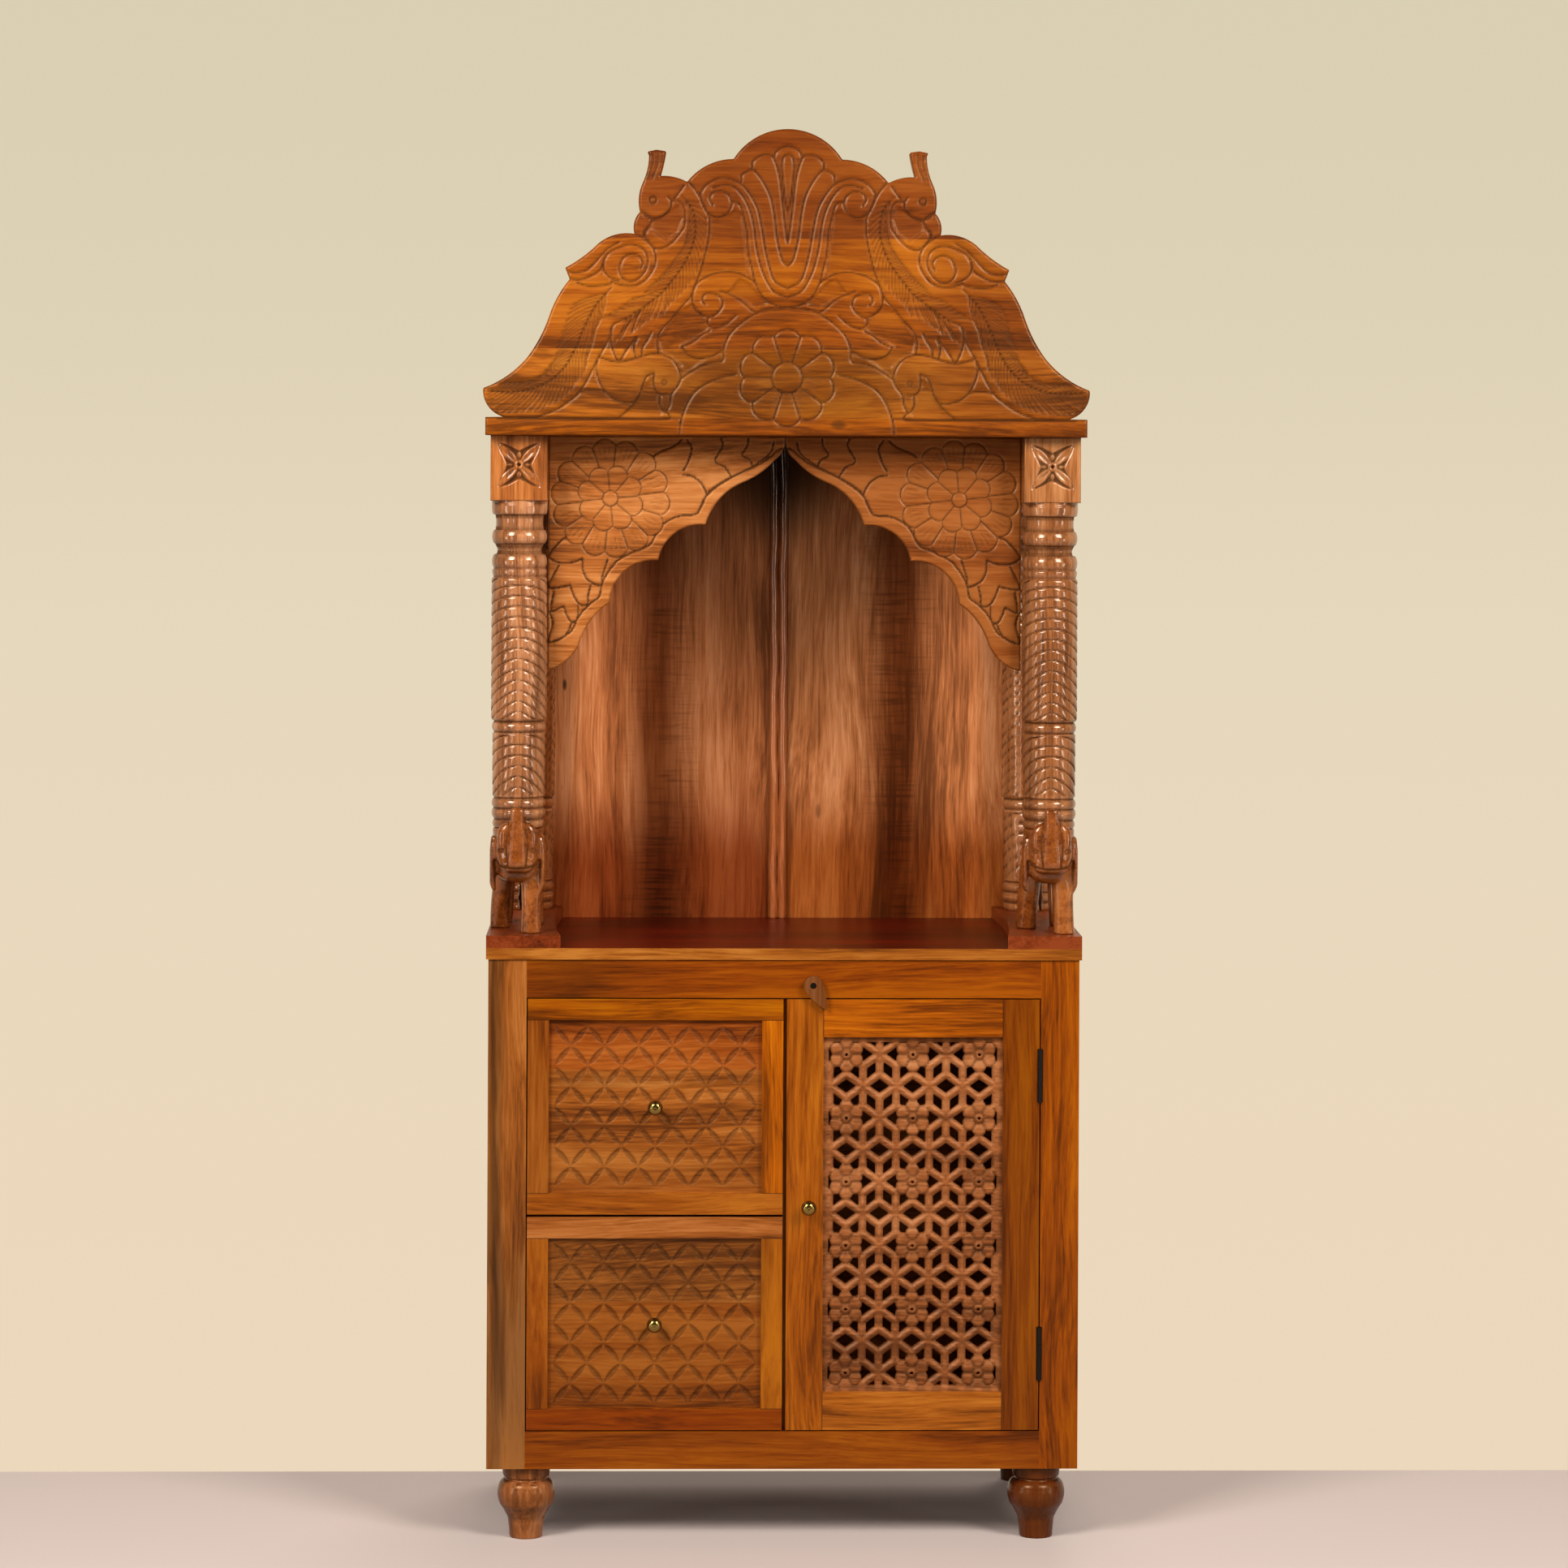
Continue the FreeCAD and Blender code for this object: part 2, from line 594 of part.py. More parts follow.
# Pillars
def pillar(foot_z, lower_drum, x, y, label):
    """Turned pillar with a square block at its head."""
    radius = size("pillar_radius")
    block_high = size("pillar_block_high")
    top_z = size("shrine_top")
    neck = [(1.5, 35, 0.8), (10, 35, 1), (1, 33, -1), (17.5, 33, 2.6), (1, 29.5, 0), (9, 29.5, -1.2),
            (4, 31.5, 0), (0.5, 33, 0), (17, 33, 2.6), (0.5, 31, 0), (19, 31, -0.6), (1.5, 35, 0), (17, 35.5, 0.8)]
    foot = [(0, 32, 0), (9.5, 32, 1.5), (1, 31, -0.8), (13.5, 33, 2.6), (1, 32, -1), (12, 32, 2.6), (1, 31, 0)]
    drum_low = [(4, radius - 2.4, 0.9), (lower_drum - 8, radius - 2, 0.3), (4, 32, 0.9), (1, 32, -0.8),
                (12.5, 32, 2.8), (1, 32, -0.8)]
    neck_high = sum(step[0] for step in neck[1:])
    used = sum(step[0] for step in foot) + sum(step[0] for step in drum_low) + neck_high
    drum = top_z - block_high - foot_z - used
    drum_high = [(5, radius, 1), (drum - 10, radius, 0), (5, 33, 1)]
    shaft = turned(foot + drum_low + drum_high + neck[1:], foot_z, -x, y)
    half = size("pillar_block") / 2
    head = block(-x - half, -x + half, y - half, y + half, top_z - block_high, top_z)
    both_sides(f"pillar_{label}", shaft.fuse(head).removeSplitter())


def pillars():
    pillar(size("front_pillar_z"), size("front_drum"), size("pillar_x"), size("front_pillar_y"), "front")
    pillar(size("plinth_top"), size("back_drum"), size("back_pillar_x"), size("back_pillar_y"), "back")


# Arch
ARCH_NOMINAL_HALF = 305
ARCH_CURVE = [(0, -6), (-3.5, -19, -14, -31), (-33, -48, -55.5, -60), (-83, -79.5, -102.5, -115),
              (-138, -123, -163, -161), (-205, -174, -226, -216), (-247, -235.5, -265, -270),
              (-279.5, -290, -305, -303)]


def arches():
    """Half of the cusped arch, hung between the pillar block and the middle of the opening."""
    stretch = size("arch_half") / ARCH_NOMINAL_HALF
    top_z = size("shrine_top")
    points = [(0, 0, top_z)]
    for spot in ARCH_CURVE:
        moved = []
        for index, value in enumerate(spot):
            moved.append(value * stretch if index % 2 == 0 else top_z + value)
        points.append(tuple(moved))
    points.append((-size("arch_half"), top_z))
    points.append((0, top_z))
    both_sides("arch", slab(points, size("arch_y"), size("arch_thick")))


# Shrine back and roof
def shrine_back():
    board("shrine_back_left", ("-back_pillar_x", "shrine_back_y", "counter_top_z"), ("0", "back_y", "shrine_top"))
    board("shrine_back_right", ("0", "shrine_back_y", "counter_top_z"), ("back_pillar_x", "back_y", "shrine_top"))
    half = size("batten_width") / 2
    y = size("shrine_back_y")
    thick = size("batten_thick")
    corners = [vec(-half, y, 0), vec(-half, y - 4, 0), vec(-half / 3, y - 6, 0), vec(half / 3, y - 6, 0),
               vec(half, y - 4, 0), vec(half, y, 0)]
    edges = [Part.makeLine(corners[0], corners[1]), Part.makeLine(corners[1], corners[2]),
             Part.Arc(corners[2], vec(0, y - thick, 0), corners[3]).toShape(),
             Part.makeLine(corners[3], corners[4]), Part.makeLine(corners[4], corners[5]),
             Part.makeLine(corners[5], corners[0])]
    shape = Part.Face(Part.Wire(edges)).extrude(vec(0, 0, size("shrine_height")))
    shape.translate(vec(0, 0, size("counter_top_z")))
    feature("shrine_batten", shape)
    board("shrine_roof", ("-cornice_half", "crest_back_y", "shrine_top"),
          ("cornice_half", "back_y", "shrine_top + roof_thick"))


# Crest
CREST_NOMINAL_HALF = 388
CREST_NOMINAL_HIGH = 393
CREST_NOMINAL_BAND = 23
CREST_CURVE = [
    (-362.5, 23.5), (-381, 36, -388, 60),
    (-358, 75.5, -331.5, 100), (-316, 124.5, -305, 150), (-293.5, 177, -278.3, 199.5), (-284, 214),
    (-258, 231, -241.2, 245.9), (-222, 256.3, -196, 258),
    (-196.5, 271, -189, 286), (-190.5, 304, -185, 324.3), (-179.5, 341, -177.6, 359),
    (-180, 363), (-168, 365.5), (-155.4, 363.6), (-158.5, 347, -162.4, 332.1),
    (-145, 330.8, -128.8, 324.6), (-101.2, 347.1, -69.5, 354.3), (-40, 382.5, 0, 393)]


def crest():
    """Pierced outline of the carved crest with its cornice band along the foot."""
    wide = size("crest_half") / CREST_NOMINAL_HALF
    band = size("cornice_high")
    high = (size("crest_height") - band) / (CREST_NOMINAL_HIGH - CREST_NOMINAL_BAND)
    foot_z = size("shrine_top")
    band_z = foot_z + band
    end = size("cornice_half")

    def placed(spot):
        """Spot of the curve, a point or an arc's two, stretched to the crest's width and height."""
        moved = []
        for index, value in enumerate(spot):
            moved.append(value * wide if index % 2 == 0 else band_z + (value - CREST_NOMINAL_BAND) * high)
        return tuple(moved)

    left = [(-end, foot_z), (-end, band_z)] + [placed(spot) for spot in CREST_CURVE]
    right = []
    for spot, before in zip(reversed(left), reversed(left[:-1])):
        goal = before[-2:]
        through = (-spot[0], spot[1]) if len(spot) == 4 else None
        target = (-goal[0], goal[1])
        right.append(through + target if through else target)
    points = [(0, 0, foot_z)] + left + right + [(0, foot_z)]
    feature("crest", slab(points, size("edge_y"), size("crest_thick")))


feet()
cupboard()
runners()
drawer("upper", "upper_z0", "front_z1", "upper_box_z")
drawer("lower", "front_z0", "lower_z1", "lower_box_z")
knobs()
door()
hinges()
turn_button()
plinths()
elephants()
pillars()
arches()
shrine_back()
crest()
doc.recompute()

NODES = [
    "foot_front_left", "foot_front_right", "foot_back_left", "foot_back_right",
    "post_left", "post_right", "rail_bottom", "rail_top", "side_left", "side_right",
    "cupboard_floor", "cupboard_back", "cupboard_divider", "counter",
    "drawer_runners_left", "drawer_runners_right",
    "drawer_upper_frame", "drawer_upper_panel", "drawer_upper_box", "drawer_upper_knob",
    "drawer_lower_frame", "drawer_lower_panel", "drawer_lower_box", "drawer_lower_knob",
    "door_frame", "door_lattice", "door_knob",
    "hinge_upper_fixed", "hinge_upper_moving", "hinge_lower_fixed", "hinge_lower_moving",
    "turn_button", "turn_button_screw", "plinth_left", "plinth_right",
    "elephant_left", "elephant_right", "pillar_front_left", "pillar_front_right",
    "pillar_back_left", "pillar_back_right", "arch_left", "arch_right",
    "shrine_back_left", "shrine_back_right", "shrine_batten", "shrine_roof", "crest",
]

for item in doc.Objects:
    if "Invalid" in item.State or "Error" in item.State:
        raise RuntimeError(f"{item.Label} failed: {item.State}")
for name in NODES:
    shape = doc.getObject(name).Shape
    if shape.isNull() or not shape.isValid():
        raise RuntimeError(f"{name} has no valid shape")

os.makedirs("parts", exist_ok=True)
for name in NODES:
    doc.getObject(name).Shape.exportStep(f"parts/{name}.step")
print(len(NODES), "parts written")
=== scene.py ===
import math

import bmesh
import bpy
import numpy as np
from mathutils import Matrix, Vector


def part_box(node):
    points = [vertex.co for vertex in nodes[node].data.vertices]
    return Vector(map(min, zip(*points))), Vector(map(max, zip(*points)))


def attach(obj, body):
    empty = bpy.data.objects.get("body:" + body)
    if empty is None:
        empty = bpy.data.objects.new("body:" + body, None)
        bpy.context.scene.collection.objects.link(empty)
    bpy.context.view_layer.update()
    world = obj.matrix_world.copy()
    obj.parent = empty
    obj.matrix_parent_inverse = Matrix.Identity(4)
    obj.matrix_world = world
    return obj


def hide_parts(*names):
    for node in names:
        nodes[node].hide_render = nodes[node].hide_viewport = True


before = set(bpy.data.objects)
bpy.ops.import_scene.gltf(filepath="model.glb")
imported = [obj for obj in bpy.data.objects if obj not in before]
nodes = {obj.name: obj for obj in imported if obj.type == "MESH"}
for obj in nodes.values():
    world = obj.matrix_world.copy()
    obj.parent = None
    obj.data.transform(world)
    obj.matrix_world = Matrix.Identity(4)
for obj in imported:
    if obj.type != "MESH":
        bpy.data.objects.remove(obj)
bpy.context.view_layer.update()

# Metres to a millimetre, and steps of the carved meshes in millimetres
MM = 0.001
CREST_STEP = 1.95
ARCH_STEP = 1.4
PANEL_STEP = 1.6
LATTICE_STEP = 1.7
BATTEN_STEP = 1.6
SHAFT_STEPS = {"front": (1.65, 108), "back": (4.6, 60)}
BLOCK_STEPS = {"front": 1.2, "back": 4.0}
ELEPHANT_STEP = 2.0


# Small helpers
def srgb(red, green, blue):
    """Linear colour of an 8-bit one."""
    parts = []
    for part in (red, green, blue):
        share = part / 255
        parts.append(share / 12.92 if share <= 0.04045 else ((share + 0.055) / 1.055) ** 2.4)
    return (*parts, 1.0)


def smooth(low, high, value):
    """Share that rises smoothly from nothing at one value to one at the other."""
    share = np.clip((value - low) / (high - low), 0, 1)
    return share * share * (3 - 2 * share)


def fall(distance, reach):
    """One at no distance, falling evenly to nothing at the reach."""
    return 1 - np.clip(distance / reach, 0, 1)


def mirrored(lines):
    """The lines and their mirror images across the middle of the piece."""
    flipped = [[(-x, z) for x, z in line] for line in lines]
    return lines + flipped


def eased(line, steps=4):
    """Rounded course through given points."""
    points = np.array(line, float)
    if len(points) < 3:
        return points
    padded = np.vstack([2 * points[0] - points[1], points, 2 * points[-1] - points[-2]])
    course = []
    for before, start, end, after in zip(padded, padded[1:], padded[2:], padded[3:]):
        for share in np.arange(steps) / steps:
            square, cube = share * share, share ** 3
            course.append(0.5 * (2 * start + (end - before) * share
                                 + (2 * before - 5 * start + 4 * end - after) * square
                                 + (3 * start - before - 3 * end + after) * cube))
    course.append(points[-1])
    return np.array(course)


def placed(name, data):
    """A new object in the scene."""
    piece = bpy.data.objects.new(name, data)
    bpy.context.scene.collection.objects.link(piece)
    return piece


def stand_in(piece, node, body="root"):
    """Let a carved piece take a plain one's place, on its body."""
    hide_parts(node)
    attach(piece, body)
    return piece


def front_box(node):
    """Left, foot, right, top, front and back of a board, in millimetres."""
    low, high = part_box(node)
    return [value / MM for value in (low.x, low.z, high.x, high.z, low.y, high.y)]


# Distances in the plane of a board
def segment_distance(x, z, start, end):
    """Distance of grid points from one segment, and the nearest point on it."""
    run_x, run_z = end[0] - start[0], end[1] - start[1]
    length = run_x * run_x + run_z * run_z + 1e-12
    share = np.clip(((x - start[0]) * run_x + (z - start[1]) * run_z) / length, 0, 1)
    near_x = start[0] + share * run_x
    near_z = start[1] + share * run_z
    return np.hypot(x - near_x, z - near_z), near_x, near_z


def close_to(x, z, start, end, reach):
    """Grid points inside the box around a segment, widened by the reach."""
    return ((x > min(start[0], end[0]) - reach) & (x < max(start[0], end[0]) + reach)
            & (z > min(start[1], end[1]) - reach) & (z < max(start[1], end[1]) + reach))


def line_distance(x, z, lines, reach):
    """Distance from the nearest line, worked out within its reach only."""
    best = np.full(x.shape, reach)
    for line in lines:
        for start, end in zip(line, line[1:]):
            near = close_to(x, z, start, end, reach)
            if near.any():
                distance, _, _ = segment_distance(x[near], z[near], start, end)
                best[near] = np.minimum(best[near], distance)
    return best


def inside_polygon(x, z, polygon):
    result = np.zeros(x.shape, bool)
    for (x0, z0), (x1, z1) in zip(polygon, np.roll(polygon, -1, axis=0)):
        if z0 == z1:
            continue
        crosses = (z0 > z) != (z1 > z)
        at = x0 + (z - z0) * (x1 - x0) / (z1 - z0)
        result ^= crosses & (x < at)
    return result


def edge_distance(x, z, polygon, reach):
    """Signed distance inside an outline and the nearest point of the outline."""
    best = np.full(x.shape, reach)
    near_x, near_z = x.copy(), z.copy()
    for start, end in zip(polygon, np.roll(polygon, -1, axis=0)):
        close = close_to(x, z, start, end, reach)
        if not close.any():
            continue
        distance, at_x, at_z = segment_distance(x[close], z[close], start, end)
        better = distance < best[close]
        rows = np.flatnonzero(close.ravel())[better]
        best.ravel()[rows] = distance[better]
        near_x.ravel()[rows] = at_x[better]
        near_z.ravel()[rows] = at_z[better]
    inside = inside_polygon(x, z, polygon)
    return np.where(inside, best, -best), near_x, near_z


def open_edges(faces):
    """Edges with a face on one side only, each in the direction of its face."""
    edges = {}
    for face in faces:
        for start, end in zip(face, face[1:] + face[:1]):
            if (end, start) in edges:
                del edges[(end, start)]
            else:
                edges[(start, end)] = True
    return list(edges)


def front_outline(node):
    """Outline of a board's front face, in order, in millimetres."""
    mesh = nodes[node].data
    points = np.array([v.co for v in mesh.vertices]) / MM
    keys = [tuple(np.round(p, 2)) for p in points[:, [0, 2]]]
    on_front = points[:, 1] < points[:, 1].min() + 0.05
    faces = [[keys[corner] for corner in polygon.vertices] for polygon in mesh.polygons
             if all(on_front[corner] for corner in polygon.vertices)]
    following = dict(open_edges(faces))
    start = max(following, key=lambda key: key[0] + key[1])
    loop = [start]
    while following[loop[-1]] != start:
        loop.append(following[loop[-1]])
    return np.array(loop, float)


# Carved boards
class Grid:
    """Square mesh of points over a board's front, with the outline followed at its edge."""

    def __init__(self, low, high, step):
        columns = int(math.ceil((high[0] - low[0]) / step)) + 3
        rows = int(math.ceil((high[1] - low[1]) / step)) + 3
        first_x = (low[0] + high[0] - (columns - 1) * step) / 2
        first_z = (low[1] + high[1] - (rows - 1) * step) / 2
        self.x, self.z = np.meshgrid(first_x + step * np.arange(columns), first_z + step * np.arange(rows))
        self.step = step
        self.origin = (self.x[0, 0], self.z[0, 0])

    def follow(self, edge, near_x, near_z):
        """Keep the points inside the outline and pull those just outside onto it."""
        snap = np.abs(edge) < 0.7 * self.step
        self.keep = (edge > 0) | snap
        self.x = np.where(snap, near_x, self.x)
        self.z = np.where(snap, near_z, self.z)
        self.edge = np.where(snap, 0, edge)

    def faces(self):
        """Quads of four kept points and triangles of three."""
        rows, columns = self.keep.shape
        index = np.arange(rows * columns).reshape(rows, columns)
        corners = np.stack([index[:-1, :-1], index[:-1, 1:], index[1:, 1:], index[1:, :-1]], -1)
        corners = corners.reshape(-1, 4)
        kept = self.keep.ravel()[corners]
        edge = np.where(kept, self.edge.ravel()[corners], -1.0)
        inner = edge.max(1) > 0
        count = kept.sum(1)
        quads = corners[(count == 4) & inner]
        threes = (count == 3) & inner
        triangles = [tuple(row[flags]) for row, flags in zip(corners[threes], kept[threes])]
        return [tuple(row) for row in quads] + triangles


def rim_loops(edges):
    """Closed runs of a board's open edges."""
    following = dict(edges)
    left = set(following)
    loops = []
    while left:
        loop = [min(left)]
        left.discard(loop[0])
        while following[loop[-1]] in left:
            loop.append(following[loop[-1]])
            left.discard(loop[-1])
        loops.append(loop)
    return loops


def mark_cuts(mesh, shade):
    """Keep how deep each point lies in a cut, for the shade painted into the wood's colour."""
    mark = mesh.attributes.new("cavity", "FLOAT", "POINT")
    mark.data.foreach_set("value", np.asarray(shade, np.float32))


def shade_smooth(mesh, count):
    """Smooth shading on the first faces of a mesh."""
    flags = np.zeros(len(mesh.polygons), bool)
    flags[:count] = True
    mesh.polygons.foreach_set("use_smooth", flags)
    mesh.update()


def board_mesh(name, grid, depth, front_y, back_y, cavity, plain_back=True):
    """Solid board whose front is carved to a depth, closed by edge walls and a flat back."""
    faces = grid.faces()
    used = np.unique(np.concatenate([np.array(face) for face in faces]))
    place = {int(old): new for new, old in enumerate(used)}
    faces = [tuple(place[int(corner)] for corner in face) for face in faces]
    x, z = grid.x.ravel()[used], grid.z.ravel()[used]
    edges = open_edges(faces)
    count = len(used)
    rim = sorted({start for start, _ in edges}) if plain_back else list(range(count))
    back = {at: count + index for index, at in enumerate(rim)}
    caps = [tuple(back[at] for at in reversed(cap)) for cap in (rim_loops(edges) if plain_back else faces)]
    walls = [(end, start, back[start], back[end]) for start, end in edges]
    front = np.stack([x, front_y + depth.ravel()[used], z], 1)
    behind = np.stack([x[rim], np.full(len(rim), back_y), z[rim]], 1)
    mesh = bpy.data.meshes.new(name)
    mesh.from_pydata((np.vstack([front, behind]) * MM).tolist(), [], faces + walls + caps)
    mark_cuts(mesh, np.concatenate([cavity.ravel()[used], np.zeros(len(rim))]))
    shade_smooth(mesh, len(faces))
    return placed(name, mesh)


def grooves(grid, lines, wide, deep, power=2.0):
    """Depth of grooves whose banks swell away from the line like cushions."""
    distance = line_distance(grid.x, grid.z, lines, wide)
    return deep * (1 - distance / wide) ** power


def carved_lines(grid, lines, wide, deep, bank):
    """Depth of knife-cut lines: a narrow cut in the middle of softly rounded banks."""
    distance = line_distance(grid.x, grid.z, lines, bank)
    cut = deep * fall(distance, wide) ** 1.2
    return cut, 0.24 * deep * (1 - distance / bank) ** 2


def rounded_edge(grid, radius):
    """Depth that rounds a board's front edge over."""
    near = np.clip(radius - grid.edge, 0, radius)
    return radius - np.sqrt(np.maximum(radius * radius - near * near, 0))


def deepest(*depths):
    """Depths laid over each other, with a soft passage from one to the next."""
    total = np.zeros(depths[0].shape)
    for depth in depths:
        total += np.maximum(depth, 0) ** 3
    return total ** (1 / 3)


def flower(grid, centre, petals, radius, core, turn=0.0, pinch=0.13):
    """Petals about a button: distance from their lines, distance from the middle, and the rim's radius."""
    across, up = grid.x - centre[0], grid.z - centre[1]
    away = np.hypot(across, up)
    angle = np.arctan2(up, across) + turn
    wave = np.abs(np.cos(angle * petals / 2))
    rim = radius * (1 - pinch + pinch * wave ** 0.7)
    to_rim = np.abs(away - rim)
    petal = math.tau / petals
    off = np.abs((angle + petal / 2) % petal - petal / 2)
    between = np.where(away < rim, away * np.sin(np.minimum(petal / 2 - off, 1.5)), 99)
    between = np.where(away > core, np.abs(between), 99)
    to_core = np.abs(away - core)
    return np.minimum(np.minimum(to_rim, between), to_core), away, rim


# Crest: courses of the carved lines on the left half, from the foot of the crest's middle
CREST_LINES = [
    [(-127, 325), (-117, 313), (-108, 297), (-101, 280), (-100, 268), (-102, 249), (-106, 231), (-111, 212),
     (-118, 193), (-124, 178), (-137, 163), (-150, 147), (-161, 135), (-166, 122), (-165, 105)],
    [(-174, 275), (-167, 278), (-158, 282), (-150, 291), (-148, 300), (-137, 299), (-132, 288), (-131, 278),
     (-133, 266), (-138, 259), (-146, 249), (-155, 242), (-164, 239), (-170, 240), (-177, 247), (-182, 254),
     (-182, 260), (-176, 268)],
    [(-187, 287), (-181, 280), (-174, 278), (-164, 279), (-155, 284), (-150, 291), (-149, 300),
     (-153, 305)],
    [(-187, 286), (-180, 283), (-174, 276), (-177, 269), (-183, 262), (-185, 254)],
    [(-133, 320), (-140, 310), (-146, 302)],
    [(-195, 258), (-186, 253), (-176, 245), (-170, 235), (-169, 222), (-174, 209), (-183, 198), (-195, 192),
     (-211, 192), (-225, 197)],
    [(-278, 200), (-264, 199), (-251, 204), (-239, 212), (-235, 224), (-228, 234), (-216, 240), (-203, 244),
     (-190, 242), (-181, 234), (-179, 221), (-183, 209), (-193, 199), (-203, 197), (-212, 203), (-215, 213),
     (-212, 224), (-206, 230), (-198, 232), (-190, 229), (-185, 221), (-188, 213)],
    [(-235, 224), (-235, 212), (-228, 203), (-215, 197)],
    [(-279, 209), (-269, 208), (-257, 211), (-247, 220), (-238, 230), (-228, 240), (-215, 247)],
    [(-269, 195), (-256, 191), (-241, 191), (-225, 194)],
    [(-225, 129), (-233, 114), (-241, 100), (-250, 82), (-264, 57), (-278, 44), (-295, 33), (-318, 24),
     (-341, 22)],
    [(-212, 147), (-223, 141), (-226, 127), (-223, 110), (-215, 95), (-207, 107), (-193, 126)],
    [(-192, 125), (-196, 114), (-194, 100)],
    [(-174, 132), (-179, 122), (-185, 113), (-186, 102)],
    [(-189, 158), (-195, 144), (-199, 132)],
    [(-241, 101), (-228, 96), (-214, 94), (-199, 97), (-184, 102), (-166, 105), (-150, 100), (-140, 89),
     (-136, 75), (-140, 64), (-148, 53), (-150, 40), (-155, 30)],
    [(-241, 101), (-244, 88), (-241, 73), (-233, 57), (-219, 46), (-199, 42), (-189, 52), (-184, 66),
     (-179, 76), (-170, 80)],
    [(-170, 80), (-171, 69), (-168, 58), (-161, 53), (-153, 53)],
    [(-162, 53), (-163, 43), (-160, 34), (-155, 30)],
    [(-216, 22), (-201, 35), (-190, 49), (-184, 66)],
    [(-264, 56), (-254, 58), (-241, 58), (-233, 56)],
    [(-370, 21), (-277, 21), (-215, 21), (-154, 21), (-153, 30)],
    [(-137, 3), (-136, 17), (-131, 34), (-124, 48), (-114, 60), (-99, 69), (-83, 75), (-66, 79)],
    [(-135, 74), (-117, 86), (-99, 93), (-83, 96), (-82, 110)],
    [(-122, 178), (-119, 191), (-110, 200), (-96, 207), (-78, 210), (-61, 208), (-48, 201), (-41, 196)],
    [(-122, 178), (-121, 168), (-115, 159), (-101, 152), (-90, 157), (-83, 168), (-86, 178), (-96, 182),
     (-106, 181), (-109, 173), (-105, 168)],
    [(-86, 185), (-73, 181), (-60, 174), (-48, 163), (-39, 157)],
    [(-101, 152), (-102, 144), (-93, 138), (-79, 143), (-66, 154)],
    [(-135, 114), (-121, 120), (-109, 130), (-99, 135)],
    [(-135, 114), (-127, 104), (-112, 99), (-96, 102), (-82, 110)],
    [(-82, 110), (-79, 120), (-73, 131), (-60, 144), (-44, 155), (-29, 161), (-2, 164)],
    [(-72, 300), (-62, 297), (-57, 283), (-52, 260), (-50, 234), (-45, 212), (-41, 196), (-32, 179),
     (-17, 168), (0, 165)],
    [(-112, 311), (-103, 322), (-86, 330), (-69, 327), (-56, 319), (-44, 302), (-37, 286), (-32, 261),
     (-28, 237), (-23, 216), (-16, 198), (0, 189)],
    [(-96, 317), (-83, 321), (-69, 319), (-57, 306), (-48, 288), (-43, 268), (-40, 244), (-35, 221),
     (-28, 202), (-17, 185), (0, 178)],
    [(-42, 339), (-32, 326), (-22, 306), (-17, 283), (-14, 257), (-10, 237), (-6, 224), (0, 218)],
    [(-18, 356), (-13, 342), (-9, 322), (-6, 293), (-3, 268), (0, 247)],
    [(-60, 325), (-59, 334), (-48, 340), (-42, 339)],
    [(-46, 342), (-45, 351), (-34, 359), (-22, 359), (-18, 356)],
    [(-18, 356), (-16, 363), (-8, 369), (0, 371)],
    [(0, 360), (-6, 357), (-8, 345), (-6, 324), (-3, 299), (0, 288)],
    [(-112, 311), (-110, 299), (-103, 286), (-91, 280), (-78, 284), (-72, 295), (-74, 306), (-84, 313),
     (-96, 311), (-100, 303), (-96, 295)],
]
CREST_RIBS = [
    [(-173, 360), (-172, 350), (-176, 337), (-179, 328)],
    [(-166, 361), (-166, 349), (-170, 337), (-174, 327)],
    [(-135, 306), (-124, 293), (-119, 278), (-118, 260), (-122, 242), (-130, 224), (-140, 208), (-152, 193),
     (-161, 182), (-174, 172), (-186, 163), (-199, 154), (-210, 147)],
    [(-174, 172), (-189, 158), (-202, 144), (-212, 132)],
    [(-225, 189), (-244, 167), (-259, 139), (-271, 110), (-287, 84), (-311, 65), (-344, 56), (-381, 57)],
]
ARCH_LINES = [
    [(-1, -19), (-7, -16), (-31, -35), (-69, -53), (-100, -75), (-113, -100)],
    [(-15, -7), (-20, -22), (-42, -39), (-70, -53), (-90, -65), (-101, -75), (-114, -100), (-135, -103),
     (-152, -110), (-163, -120), (-174, -140), (-187, -146), (-202, -153), (-216, -161), (-229, -177),
     (-237, -193), (-240, -208), (-254, -219), (-267, -235), (-274, -250), (-287, -261), (-304, -268)],
    [(-48, -3), (-49, -12), (-56, -24), (-46, -30), (-42, -39)],
    [(-83, -3), (-81, -12), (-91, -32), (-79, -39), (-70, -52)],
    [(-127, -5), (-121, -15), (-125, -31), (-132, -45)],
    [(-132, -50), (-120, -52), (-108, -62), (-101, -75)],
    [(-170, -26), (-161, -20), (-146, -14), (-134, -5)],
    [(-278, -130), (-289, -135), (-305, -155), (-293, -164), (-274, -164), (-262, -159)],
    [(-262, -159), (-261, -174), (-254, -187), (-238, -194), (-236, -182), (-229, -160)],
    [(-292, -168), (-299, -180), (-305, -197), (-278, -194)],
    [(-278, -193), (-272, -208), (-265, -218), (-255, -218), (-254, -206), (-251, -194)],
    [(-299, -202), (-302, -227), (-287, -221), (-283, -229), (-276, -241), (-268, -237), (-267, -219)],
    [(-304, -228), (-300, -244), (-305, -267), (-284, -259), (-275, -242)],
]
